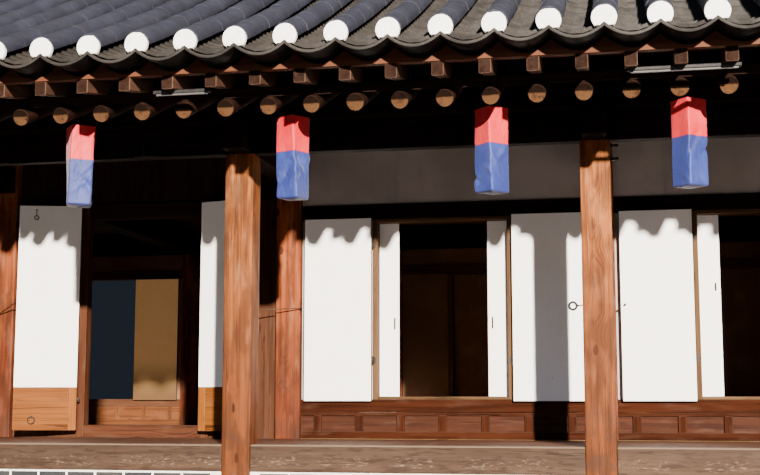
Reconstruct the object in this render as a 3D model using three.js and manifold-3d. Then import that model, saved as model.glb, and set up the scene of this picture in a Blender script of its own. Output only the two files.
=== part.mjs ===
import * as THREE from 'three';
import Module from 'manifold-3d';
import { mergeVertices } from 'three/addons/utils/BufferGeometryUtils.js';

const wasm = await Module();
wasm.setup();

// Driving dimensions, in millimetres. X runs along the front, Y goes into the house, Z is up.
// The origin is on the ground under the middle of the house.
const BAY = 2700;
const BAY_COUNT = 4;
const POST = 220;
const VERANDA = 1450;
const ROOM = 5000;
const FLOOR = 540;
const SEAT_GAP = 0.3;

// Bays from left to right: two of the hall, of which the right one has the open doors, then two rooms.
const SHUT_HALL_BAY = 0;
const OPEN_HALL_BAY = 1;
const ROOM_BAYS = [2, 3];
const PARTITION_PILLAR = 2;

// The pillar rows.
const HALF_SPAN = BAY * BAY_COUNT / 2;
const HALF_POST = POST / 2;
const BAY_FACE = BAY / 2 - HALF_POST;
const FRONT_Y = -(VERANDA + ROOM) / 2;
const INNER_Y = FRONT_Y + VERANDA;
const REAR_Y = -FRONT_Y;

// Heights above the veranda floor.
const BEAM_BOTTOM = 2220;
const BEAM_HEIGHT = 240;
const SILL_TOP = 333;
const WINDOW_TOP = 1900;
const LINTEL_HEIGHT = 123;
const DOOR_BOTTOM = 109;
const DOOR_TOP = 1959;

// Masonry under the house.
const STONE_SIDE = 360;
const STONE_TOP = 240;
const BASE_TOP = 340;
const BASE_THICK = 170;

// Floors.
const EDGE_BEAM_BACK = FRONT_Y + 60;
const EDGE_BEAM_FRONT = FRONT_Y - 95;
const FLOOR_BOARDS = 60;
const SIDE_BEAM_HALF = 75;

// Eaves and roof, first the round rafters, then the square flying rafters over them.
const GABLE_REACH = 900;
const RAFTER_PITCH = 303;
const RAFTER_START = 2664;
const RAFTER_RADIUS = 60;
const RAFTER_SLOPE = 0.42;
const RAFTER_TIP = { y: FRONT_Y - 1190, z: 2789 };
const RAFTER_TAIL_Y = INNER_Y + 100;
const BOARD = 25;
const FLYING_WIDTH = 80;
const FLYING_HEIGHT = 95;
const FLYING_SLOPE = 0.2;
const FLYING_TIP = { y: FRONT_Y - 1510, z: 2925 };
const UPPER_BOARD = 20;
const EAVE_BAR = { front: FRONT_Y - 1520, back: FRONT_Y - 1460, height: 38 };
const SHORT_RAFTER_SLOPE = 0.75;
const TILE_EDGE = { y: FRONT_Y - 1780, bottom: 3055, crown: 3254 };
const CROWN_SLOPE = 0.43;
const CROWN_CURVE = 2.32e-5;
const CROWN_STEPS = 8;
const TILE_LAYER = 230;
const LAYER_FROM = TILE_EDGE.y + 200;
const ROOF_OVERHANG = 90;
const RIDGE_HALF_WIDTH = 140;
const RIDGE_HEIGHT = 490;
const END_RIDGE_WIDTH = 260;
const END_RIDGE_HEIGHT = 150;
const END_RIDGE_FROM = TILE_EDGE.y + 420;
const GABLE_BOARD_THICK = 50;

// Purlins and the wall timbers.
const PURLIN_HALF = 90;
const PURLIN_HEIGHT = 230;
const UNDER_BEAM_HALF = 55;
const TOE_BEAM_HALF = 90;
const MAIN_BEAM_HALF = 120;
const MAIN_BEAM_HEIGHT = 300;
const BEAM_HEAD = 300;
const TENON_HALF = 30;
const WALL_FRONT = -40;
const WALL_BACK = 50;
const TIMBER_FRONT = -70;
const WALL_HALF = 60;
const RAIL_PROUD = 75;
const SIDE_RAIL = { bottom: 1050, height: 110 };
const SIDE_POST_HALF = 70;
const CEILING_THICK = 30;
const GABLE_WALL_HALF = 50;

// Panels of the sill under each front window.
const PANEL_COUNT = 6;
const PANEL_PITCH = 363;
const STILE = 66;
const FOOT_RAIL = 63;
const TOP_RAIL_BOTTOM = 198;

// Windows and their opened leaves.
const WINDOW_HALF = 600;
const JAMB = 40;
const SILL_LIP = 25;
const SASH_SHOWS = 177;
const SASH = { front: 15, back: 45 };
const FRAME_BACK = 70;
const LEAF_THICK = 36;
const LEAF_BOTTOM = 319;
const LEAF_TOP = 1897;
const LEAF_STAND_OFF = 20;
const LEAF_GAP = 4;
const LEAF_HINGES = { heights: [300, 1300], height: 70, inner: 12, outer: 40 };
const REAR_RAIL = 93;
const REAR_JAMB = 60;
const REAR_LEAF_FRONT = 20;

// Hall doors. The hinge line stands in front of the door frame.
const DOOR_HALF = 541;
const DOOR_JAMB = 80;
const DOOR_LINTEL = 141;
const HINGE_X = 570;
const HINGE_STAND_OFF = 56;
const DOOR_EDGE = 10;
const DOOR_TIP = 565;
const DOOR_SET = 14;
const DOOR_LEAF_BOTTOM = 63;
const DOOR_LEAF_TOP = 2070;
const DOOR_PAPER_BOTTOM = 442;
const DOOR_STILE = 55;
const DOOR_RELIEF = 8;
const DOOR_REST_DEG = 165;
const HINGE_HEIGHTS = [330, 1800];
const PIN_RADIUS = 4;
const PIN_HOLE_RADIUS = 4.6;
const KNUCKLE_HALF = 8;
const KNUCKLE_HEIGHT = 20;
const SOCKET_LEG = { from: 12, to: 40 };

// Lanterns under the front eaves.
const LANTERN_SIDE = 200;
const LANTERN_BOTTOM = 1710;
const LANTERN_TOP = 2315;
const LANTERN_Y = FRONT_Y - 810;
const HOOK_HALF = 4;
const LANTERNS = [
  { x: -2290, turn: 0.5 },
  { x: -990, turn: 0.35 },
  { x: 618, turn: 0.25 },
  { x: 2023, turn: 0.15 },
  { x: 3337, turn: 0.3 },
  { x: 4750, turn: 0.1 },
];

// Values worked out from the ones above.
const BEAM_Z = FLOOR + BEAM_BOTTOM;
const UNDER_BEAM_TOP = BEAM_Z + BEAM_HEIGHT;
const MAIN_BEAM_TOP = BEAM_Z + MAIN_BEAM_HEIGHT;
const PURLIN_REACH = HALF_SPAN + GABLE_REACH;
const RAFTER_REACH = PURLIN_REACH - 10;
const ROOF_HALF = PURLIN_REACH + ROOF_OVERHANG;
const RAFTER_LIFT = 2 * RAFTER_RADIUS * Math.hypot(1, RAFTER_SLOPE);
const FILL_FROM = RAFTER_TAIL_Y + RAFTER_RADIUS / 2;
const pillarX = (i) => -HALF_SPAN + i * BAY;
const bayX = (i) => pillarX(i) + BAY / 2;
const PILLAR_XS = Array.from({ length: BAY_COUNT + 1 }, (_, i) => pillarX(i));

const MATERIALS = {
  timber: new THREE.MeshStandardMaterial({ color: 0x8a5a3c, roughness: 0.8, metalness: 0 }),
  darkTimber: new THREE.MeshStandardMaterial({ color: 0x4a2f22, roughness: 0.85, metalness: 0 }),
  weatheredTimber: new THREE.MeshStandardMaterial({ color: 0x6f6258, roughness: 0.9, metalness: 0 }),
  plaster: new THREE.MeshStandardMaterial({ color: 0xb5aca6, roughness: 0.95, metalness: 0 }),
  paper: new THREE.MeshStandardMaterial({ color: 0xf4efe6, roughness: 0.9, metalness: 0 }),
  tile: new THREE.MeshStandardMaterial({ color: 0x3f454f, roughness: 0.6, metalness: 0 }),
  masonry: new THREE.MeshStandardMaterial({ color: 0x8d8a86, roughness: 0.95, metalness: 0 }),
  silk: new THREE.MeshStandardMaterial({ color: 0x4668b0, roughness: 0.6, metalness: 0 }),
};

// A closed geometry becomes a solid that can be joined and cut.
function solid(geometry) {
  const bare = new THREE.BufferGeometry();
  bare.setAttribute('position', geometry.getAttribute('position'));
  if (geometry.index) {
    bare.setIndex(geometry.index);
  }
  const merged = mergeVertices(bare, 1e-3);
  return new wasm.Manifold(new wasm.Mesh({
    numProp: 3,
    vertProperties: new Float32Array(merged.getAttribute('position').array),
    triVerts: new Uint32Array(merged.index.array),
  }));
}

// The two X limits may come in either order.
function block(xa, xb, y0, y1, z0, z1) {
  const geometry = new THREE.BoxGeometry(Math.abs(xb - xa), y1 - y0, z1 - z0);
  geometry.translate((xa + xb) / 2, (y0 + y1) / 2, (z0 + z1) / 2);
  return solid(geometry);
}

// An outline in Y and Z, drawn out along X.
function profile(points, x0, x1) {
  const shape = new THREE.Shape(points.map(([y, z]) => new THREE.Vector2(y, z)));
  const geometry = new THREE.ExtrudeGeometry(shape, { depth: x1 - x0, bevelEnabled: false });
  const turn = new THREE.Matrix4().makeBasis(
    new THREE.Vector3(0, 1, 0),
    new THREE.Vector3(0, 0, 1),
    new THREE.Vector3(1, 0, 0),
  );
  geometry.applyMatrix4(turn);
  geometry.translate(x0, 0, 0);
  return solid(geometry);
}

function upright(radius, z0, z1) {
  const geometry = new THREE.CylinderGeometry(radius, radius, z1 - z0, 12);
  geometry.rotateX(Math.PI / 2);
  geometry.translate(0, 0, (z0 + z1) / 2);
  return solid(geometry);
}

function joined(pieces) {
  return pieces.reduce((all, piece) => all.add(piece));
}

function geometryOf(body) {
  const mesh = body.getMesh();
  const geometry = new THREE.BufferGeometry();
  geometry.setAttribute('position', new THREE.BufferAttribute(mesh.vertProperties, 3));
  geometry.setIndex(new THREE.BufferAttribute(mesh.triVerts, 1));
  geometry.computeVertexNormals();
  return geometry;
}

const house = new THREE.Group();

function place(name, geometry, material, parent = house) {
  const mesh = new THREE.Mesh(geometry, material);
  mesh.name = name;
  parent.add(mesh);
  return mesh;
}

function bayGroup(index) {
  const bay = new THREE.Group();
  bay.position.set(bayX(index), INNER_Y, 0);
  house.add(bay);
  return bay;
}

// Lines of the roof in the front half; the rear half is the same turned round.
const rafterBottom = (y) => RAFTER_TIP.z + RAFTER_SLOPE * (y - RAFTER_TIP.y);
const rafterTop = (y) => rafterBottom(y) + RAFTER_LIFT;
const boardTop = (y) => rafterTop(y) + BOARD * Math.hypot(1, RAFTER_SLOPE);
const flyingBottom = (y) => FLYING_TIP.z + FLYING_SLOPE * (y - FLYING_TIP.y);
const flyingTop = (y) => flyingBottom(y) + FLYING_HEIGHT;
const upperBoardTop = (y) => flyingTop(y) + UPPER_BOARD;
const shortRafterBottom = (y) => rafterBottom(RAFTER_TAIL_Y) + SHORT_RAFTER_SLOPE * (y - RAFTER_TAIL_Y);

function crown(y) {
  const run = y - TILE_EDGE.y;
  return TILE_EDGE.crown + CROWN_SLOPE * run + CROWN_CURVE * run * run;
}

// Where two straight lines with slopes a and b meet, from their heights at y = 0.
const meeting = (lineA, a, lineB, b) => (lineB(0) - lineA(0)) / (a - b);

function crownLine(from, to, lift) {
  const points = [];
  for (let i = 0; i <= CROWN_STEPS; i += 1) {
    const y = from + (to - from) * i / CROWN_STEPS;
    points.push([y, crown(y) + lift]);
  }
  return points;
}

const mirrored = (points) => points.map(([y, z]) => [-y, z]).reverse();

const RIDGE_SEAT = Math.round(crown(-RIDGE_HALF_WIDTH));
const EAVE_PURLIN = { bottom: UNDER_BEAM_TOP, top: rafterBottom(FRONT_Y - PURLIN_HALF) - SEAT_GAP };
const midTop = rafterBottom(INNER_Y - PURLIN_HALF) - SEAT_GAP;
const MID_PURLIN = { bottom: Math.floor(midTop - PURLIN_HEIGHT), top: midTop };
const ridgeTop = shortRafterBottom(-PURLIN_HALF) - SEAT_GAP;
const RIDGE_PURLIN = { bottom: Math.floor(ridgeTop - PURLIN_HEIGHT), top: ridgeTop };
const INNER_POST_TOP = MID_PURLIN.bottom;

// Pillar stones with the brick walls between them, one mass of masonry.
function makeBase() {
  const side = STONE_SIDE / 2;
  const half = BASE_THICK / 2;
  const pieces = [];
  for (const y of [FRONT_Y, INNER_Y, REAR_Y]) {
    for (const x of PILLAR_XS) {
      pieces.push(block(x - side, x + side, y - side, y + side, 0, STONE_TOP));
    }
    for (let i = 0; i < BAY_COUNT; i += 1) {
      const x = bayX(i);
      pieces.push(block(x - BAY_FACE, x + BAY_FACE, y - half, y + half, 0, BASE_TOP));
    }
  }
  for (const x of [-HALF_SPAN, HALF_SPAN]) {
    pieces.push(block(x - half, x + half, FRONT_Y + HALF_POST, INNER_Y - HALF_POST, 0, BASE_TOP));
    pieces.push(block(x - half, x + half, INNER_Y + HALF_POST, REAR_Y - HALF_POST, 0, BASE_TOP));
  }
  place('base_masonry', geometryOf(joined(pieces)), MATERIALS.masonry);
}

function pillarBlock(x, y, z0, z1) {
  return block(x - HALF_POST, x + HALF_POST, y - HALF_POST, y + HALF_POST, z0, z1);
}

function makePillars() {
  const front = geometryOf(pillarBlock(0, 0, STONE_TOP, BEAM_Z));
  const mortise = TENON_HALF + SEAT_GAP;
  const through = block(-mortise, mortise, -POST, POST, BEAM_Z - SEAT_GAP, UNDER_BEAM_TOP + SEAT_GAP);
  const inner = geometryOf(pillarBlock(0, 0, STONE_TOP, INNER_POST_TOP).subtract(through));
  PILLAR_XS.forEach((x, i) => {
    place(`front_pillar_${i + 1}`, front, MATERIALS.timber).position.set(x, FRONT_Y, 0);
    place(`inner_pillar_${i + 1}`, inner, MATERIALS.timber).position.set(x, INNER_Y, 0);
  });
}

function pillarRow(y) {
  return joined(PILLAR_XS.map((x) => pillarBlock(x, y, 0, INNER_POST_TOP)));
}

// The veranda boards with the edge beams that carry them, and the floor slab of the hall and rooms.
function makeFloors() {
  const wallLine = INNER_Y + TIMBER_FRONT;
  const inside = HALF_SPAN - SIDE_BEAM_HALF;
  let veranda = block(-inside, inside, EDGE_BEAM_BACK, wallLine, FLOOR - FLOOR_BOARDS, FLOOR);
  for (let i = 0; i < BAY_COUNT; i += 1) {
    const left = bayX(i) - BAY_FACE;
    const right = bayX(i) + BAY_FACE;
    veranda = veranda.add(block(left, right, EDGE_BEAM_FRONT, EDGE_BEAM_BACK + 5, BASE_TOP, FLOOR));
  }
  for (const x of [-HALF_SPAN, HALF_SPAN]) {
    veranda = veranda.add(block(
      x - SIDE_BEAM_HALF,
      x + SIDE_BEAM_HALF,
      FRONT_Y + HALF_POST,
      INNER_Y - HALF_POST,
      BASE_TOP,
      FLOOR,
    ));
  }
  veranda = veranda.subtract(pillarRow(FRONT_Y)).subtract(pillarRow(INNER_Y));
  place('veranda_floor', geometryOf(veranda), MATERIALS.weatheredTimber);
  const roomSide = HALF_SPAN - RAIL_PROUD;
  const roomFloor = block(-roomSide, roomSide, wallLine, REAR_Y - RAIL_PROUD, BASE_TOP, FLOOR)
    .subtract(pillarRow(INNER_Y))
    .subtract(pillarRow(REAR_Y));
  place('room_floor', geometryOf(roomFloor), MATERIALS.timber);
}

// Each cross beam runs from its head over the front pillar, through the inner pillar and over the rear one.
function makeCrossBeams() {
  const inner = INNER_Y + HALF_POST;
  const geometry = geometryOf(joined([
    block(-TOE_BEAM_HALF, TOE_BEAM_HALF, FRONT_Y - BEAM_HEAD, INNER_Y - HALF_POST, BEAM_Z, UNDER_BEAM_TOP),
    block(-TENON_HALF, TENON_HALF, INNER_Y - POST, INNER_Y + POST, BEAM_Z, UNDER_BEAM_TOP),
    block(-MAIN_BEAM_HALF, MAIN_BEAM_HALF, inner, REAR_Y - PURLIN_HALF, BEAM_Z, MAIN_BEAM_TOP),
    block(-MAIN_BEAM_HALF, MAIN_BEAM_HALF, 0, REAR_Y + BEAM_HEAD, BEAM_Z, UNDER_BEAM_TOP),
  ]));
  PILLAR_XS.forEach((x, i) => {
    place(`cross_beam_${i + 1}`, geometry, MATERIALS.darkTimber).position.x = x;
  });
}

function purlin(y, { bottom, top }) {
  return block(-PURLIN_REACH, PURLIN_REACH, y - PURLIN_HALF, y + PURLIN_HALF, bottom, top);
}

// A purlin with its bearing beams between the cross beams.
function eavePurlin(y, beamHalf) {
  const pieces = [purlin(y, EAVE_PURLIN)];
  const bearing = (left, right) => pieces.push(
    block(left, right, y - UNDER_BEAM_HALF, y + UNDER_BEAM_HALF, BEAM_Z, UNDER_BEAM_TOP + 10),
  );
  const end = PURLIN_REACH - PURLIN_HALF;
  bearing(-end, -HALF_SPAN - beamHalf);
  for (let i = 0; i < BAY_COUNT; i += 1) {
    bearing(pillarX(i) + beamHalf, pillarX(i + 1) - beamHalf);
  }
  bearing(HALF_SPAN + beamHalf, end);
  return joined(pieces);
}

function makePurlins() {
  place('front_purlin', geometryOf(eavePurlin(FRONT_Y, TOE_BEAM_HALF)), MATERIALS.darkTimber);
  place('rear_purlin', geometryOf(eavePurlin(REAR_Y, MAIN_BEAM_HALF)), MATERIALS.darkTimber);
  place('mid_purlin', geometryOf(purlin(INNER_Y, MID_PURLIN)), MATERIALS.darkTimber);
}

function roundRafter() {
  const angle = Math.atan(RAFTER_SLOPE);
  const length = (RAFTER_TAIL_Y - RAFTER_TIP.y) / Math.cos(angle);
  const middleY = (RAFTER_TAIL_Y + RAFTER_TIP.y) / 2;
  const widen = 1 / Math.cos(Math.PI / 8);
  const geometry = new THREE.CylinderGeometry(RAFTER_RADIUS, RAFTER_RADIUS, length, 8);
  geometry.rotateY(Math.PI / 8);
  geometry.scale(widen, 1, widen);
  geometry.rotateX(angle);
  geometry.translate(0, middleY, rafterBottom(middleY) + RAFTER_LIFT / 2);
  return solid(geometry);
}

// Round rafters, their boards, the flying rafters, the upper boards and the eave bar, as one carried frame.
function makeRafters() {
  const round = roundRafter();
  const tailY = meeting(flyingTop, FLYING_SLOPE, boardTop, RAFTER_SLOPE);
  const sunk = 8;
  const flying = profile([
    [FLYING_TIP.y, FLYING_TIP.z],
    [RAFTER_TIP.y, flyingBottom(RAFTER_TIP.y)],
    [tailY, boardTop(tailY) - sunk],
    [tailY, flyingTop(tailY)],
    [FLYING_TIP.y, flyingTop(FLYING_TIP.y)],
  ], -FLYING_WIDTH / 2, FLYING_WIDTH / 2);
  const endY = meeting(upperBoardTop, FLYING_SLOPE, boardTop, RAFTER_SLOPE);
  const barBottom = flyingTop(FLYING_TIP.y);
  const boardFrom = RAFTER_TIP.y + 40;
  const stripBack = boardFrom + 90;
  const pieces = [
    profile([
      [boardFrom, rafterTop(boardFrom) - 4],
      [RAFTER_TAIL_Y, rafterTop(RAFTER_TAIL_Y) - 4],
      [RAFTER_TAIL_Y, boardTop(RAFTER_TAIL_Y)],
      [boardFrom, boardTop(boardFrom)],
    ], -RAFTER_REACH, RAFTER_REACH),
    profile([
      [boardFrom, boardTop(boardFrom) - sunk],
      [stripBack, boardTop(stripBack) - sunk],
      [stripBack, flyingBottom(stripBack) + 4],
      [boardFrom, flyingBottom(boardFrom) + 4],
    ], -RAFTER_REACH, RAFTER_REACH),
    profile([
      [FLYING_TIP.y, flyingTop(FLYING_TIP.y) - 2],
      [tailY, flyingTop(tailY) - 2],
      [endY, boardTop(endY)],
      [FLYING_TIP.y, upperBoardTop(FLYING_TIP.y)],
    ], -RAFTER_REACH, RAFTER_REACH),
    block(
      -RAFTER_REACH,
      RAFTER_REACH,
      EAVE_BAR.front,
      EAVE_BAR.back,
      barBottom,
      barBottom + EAVE_BAR.height,
    ),
  ];
  const room = RAFTER_REACH - RAFTER_RADIUS;
  const first = Math.ceil((-room - RAFTER_START) / RAFTER_PITCH);
  const last = Math.floor((room - RAFTER_START) / RAFTER_PITCH);
  for (let k = first; k <= last; k += 1) {
    const x = RAFTER_START + k * RAFTER_PITCH;
    pieces.push(round.translate([x, 0, 0]));
    pieces.push(flying.translate([x, 0, 0]));
  }
  const geometry = geometryOf(joined(pieces));
  place('front_rafters', geometry, MATERIALS.darkTimber);
  place('rear_rafters', geometry, MATERIALS.darkTimber).rotation.z = Math.PI;
}

// The mass of earth and tile of one slope, with the ridge tiles along its two gable edges.
function makeRoof() {
  const middle = -SEAT_GAP / 2;
  const barTop = flyingTop(FLYING_TIP.y) + EAVE_BAR.height + SEAT_GAP;
  const behindBar = EAVE_BAR.back + 30;
  const endY = meeting(upperBoardTop, FLYING_SLOPE, boardTop, RAFTER_SLOPE);
  const top = crownLine(-RIDGE_HALF_WIDTH, TILE_EDGE.y, 0);
  top[0][1] = RIDGE_SEAT - SEAT_GAP;
  const fill = profile([
    [TILE_EDGE.y, TILE_EDGE.bottom],
    [EAVE_BAR.front - 5, barTop],
    [EAVE_BAR.back + 5, barTop],
    [behindBar, upperBoardTop(behindBar) + SEAT_GAP],
    [endY, boardTop(endY) + SEAT_GAP],
    [FILL_FROM, boardTop(FILL_FROM) + SEAT_GAP],
    [FILL_FROM, shortRafterBottom(FILL_FROM)],
    [middle, shortRafterBottom(middle)],
    [middle, RIDGE_SEAT - SEAT_GAP],
    ...top,
  ], -PURLIN_REACH + SEAT_GAP, PURLIN_REACH - SEAT_GAP);
  const layer = profile([
    [TILE_EDGE.y, TILE_EDGE.bottom],
    ...crownLine(LAYER_FROM, -RIDGE_HALF_WIDTH, -TILE_LAYER),
    [middle, crown(-RIDGE_HALF_WIDTH) - TILE_LAYER],
    [middle, RIDGE_SEAT - SEAT_GAP],
    ...top,
  ], -ROOF_HALF, ROOF_HALF);
  const ridgeFace = -RIDGE_HALF_WIDTH - 5;
  const endRidge = profile([
    ...crownLine(END_RIDGE_FROM, ridgeFace, END_RIDGE_HEIGHT),
    ...crownLine(ridgeFace, END_RIDGE_FROM, -60),
  ], 0, END_RIDGE_WIDTH);
  const roof = joined([
    fill,
    layer,
    endRidge.translate([ROOF_HALF - END_RIDGE_WIDTH, 0, 0]),
    endRidge.translate([-ROOF_HALF, 0, 0]),
  ]);
  const geometry = geometryOf(roof);
  place('front_roof', geometry, MATERIALS.tile);
  place('rear_roof', geometry, MATERIALS.tile).rotation.z = Math.PI;
  const ridge = new THREE.BoxGeometry(2 * ROOF_HALF, 2 * RIDGE_HALF_WIDTH, RIDGE_HEIGHT);
  place('main_ridge', ridge, MATERIALS.tile).position.z = RIDGE_SEAT + RIDGE_HEIGHT / 2;
}

// The boards that close the roof at each gable.
function makeGableBoards() {
  const topLine = crownLine(LAYER_FROM, -RIDGE_HALF_WIDTH, -TILE_LAYER - SEAT_GAP - 12);
  const bottomLine = [
    [RAFTER_TAIL_Y, rafterBottom(RAFTER_TAIL_Y) + 40],
    [RAFTER_TIP.y, rafterBottom(RAFTER_TIP.y) + 40],
    [LAYER_FROM, rafterBottom(RAFTER_TIP.y) + 100],
  ];
  const board = profile([
    ...topLine,
    ...mirrored(topLine),
    ...mirrored(bottomLine),
    [0, shortRafterBottom(0) + 40],
    ...bottomLine,
  ], 0, GABLE_BOARD_THICK);
  const geometry = geometryOf(board);
  place('left_gable_board', geometry, MATERIALS.darkTimber).position.x = -PURLIN_REACH - GABLE_BOARD_THICK;
  place('right_gable_board', geometry, MATERIALS.darkTimber).position.x = PURLIN_REACH;
}

// The plastered walls above the end cross beams, with the ridge purlin and the rear purlin that they carry.
function makeRoofFrame() {
  const front = INNER_Y + HALF_POST;
  const rear = REAR_Y - PURLIN_HALF;
  const drop = 2;
  const shape = profile([
    [front, MAIN_BEAM_TOP],
    [rear, MAIN_BEAM_TOP],
    [rear, rafterBottom(-rear) - drop],
    [-FILL_FROM, rafterBottom(FILL_FROM) - drop],
    [0, shortRafterBottom(0) - drop],
    [FILL_FROM, shortRafterBottom(FILL_FROM) - drop],
    [FILL_FROM, INNER_POST_TOP],
    [front, INNER_POST_TOP],
  ], -GABLE_WALL_HALF, GABLE_WALL_HALF);
  const frame = joined([
    shape.translate([-HALF_SPAN, 0, 0]),
    shape.translate([HALF_SPAN, 0, 0]),
    purlin(-INNER_Y, MID_PURLIN),
    purlin(0, RIDGE_PURLIN),
  ]);
  place('roof_frame', geometryOf(frame), MATERIALS.plaster);
}

function makeCeiling() {
  const side = HALF_SPAN - GABLE_WALL_HALF - SEAT_GAP;
  const from = INNER_Y + WALL_BACK;
  const to = REAR_Y - PURLIN_HALF;
  const boards = block(-side, side, from, to, MAIN_BEAM_TOP, MAIN_BEAM_TOP + CEILING_THICK);
  place('ceiling', geometryOf(boards.subtract(pillarRow(INNER_Y))), MATERIALS.timber);
}

// Side walls: plaster between a ground sill, a middle rail and a middle post.
function makeSideWalls() {
  const from = INNER_Y + HALF_POST;
  const to = REAR_Y - HALF_POST;
  const middle = (from + to) / 2;
  const railZ = FLOOR + SIDE_RAIL.bottom;
  const wall = joined([
    block(-WALL_HALF, WALL_HALF, from, to, BASE_TOP, BEAM_Z),
    block(-RAIL_PROUD, RAIL_PROUD, from, to, BASE_TOP, FLOOR),
    block(-RAIL_PROUD, RAIL_PROUD, from, to, railZ, railZ + SIDE_RAIL.height),
    block(-RAIL_PROUD, RAIL_PROUD, middle - SIDE_POST_HALF, middle + SIDE_POST_HALF, BASE_TOP, BEAM_Z),
  ]);
  const geometry = geometryOf(wall);
  place('left_side_wall', geometry, MATERIALS.plaster).position.x = -HALF_SPAN;
  place('right_side_wall', geometry, MATERIALS.plaster).position.x = HALF_SPAN;
  const partition = new THREE.BoxGeometry(100, to - from, BEAM_Z - FLOOR);
  place('hall_partition', partition, MATERIALS.plaster)
    .position.set(pillarX(PARTITION_PILLAR), middle, (FLOOR + BEAM_Z) / 2);
}

// Rear walls with their pillars repeat the front windows. In the shut hall bay the leaves are folded in.
function makeRearWalls() {
  const sillZ = FLOOR + SILL_TOP;
  const topZ = FLOOR + WINDOW_TOP;
  const jamb = WINDOW_HALF + REAR_JAMB;
  const wall = joined([
    block(-BAY_FACE, BAY_FACE, -WALL_HALF, WALL_HALF, BASE_TOP, BEAM_Z),
    block(-BAY_FACE, BAY_FACE, -RAIL_PROUD, RAIL_PROUD, BASE_TOP, FLOOR),
    block(-BAY_FACE, BAY_FACE, -RAIL_PROUD, RAIL_PROUD, sillZ - REAR_RAIL, sillZ),
    block(-BAY_FACE, BAY_FACE, -RAIL_PROUD, RAIL_PROUD, topZ, topZ + LINTEL_HEIGHT),
    block(-jamb, jamb, -RAIL_PROUD, RAIL_PROUD, sillZ, topZ),
    pillarBlock(-BAY / 2, 0, STONE_TOP, BEAM_Z),
  ]).subtract(block(-WINDOW_HALF, WINDOW_HALF, -POST, POST, sillZ, topZ));
  const leafBack = REAR_LEAF_FRONT + LEAF_THICK;
  const edge = WINDOW_HALF + 5;
  const shutPair = block(-edge, edge, REAR_LEAF_FRONT, leafBack, sillZ - 5, topZ + 5)
    .subtract(block(-2, 2, REAR_LEAF_FRONT + LEAF_THICK / 2, POST, sillZ, topZ));
  const hingeFront = -RAIL_PROUD - LEAF_STAND_OFF;
  const foldedLeaves = [];
  for (const side of [-1, 1]) {
    const near = side * (WINDOW_HALF + LEAF_GAP);
    const far = side * 2 * WINDOW_HALF;
    const bottom = FLOOR + LEAF_BOTTOM;
    foldedLeaves.push(block(near, far, hingeFront - LEAF_THICK, hingeFront, bottom, FLOOR + LEAF_TOP));
    for (const height of LEAF_HINGES.heights) {
      const z = sillZ + height;
      const to = side * (WINDOW_HALF + LEAF_HINGES.outer);
      foldedLeaves.push(block(near, to, hingeFront - 5, -RAIL_PROUD + 5, z, z + LEAF_HINGES.height));
    }
  }
  for (let i = 0; i < BAY_COUNT; i += 1) {
    const pieces = [wall, ...(i === SHUT_HALL_BAY ? foldedLeaves : [shutPair])];
    if (i === BAY_COUNT - 1) {
      pieces.push(pillarBlock(BAY / 2, 0, STONE_TOP, BEAM_Z));
    }
    place(`rear_wall_${i + 1}`, geometryOf(joined(pieces)), MATERIALS.plaster)
      .position.set(bayX(i), REAR_Y, 0);
  }
}

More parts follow.
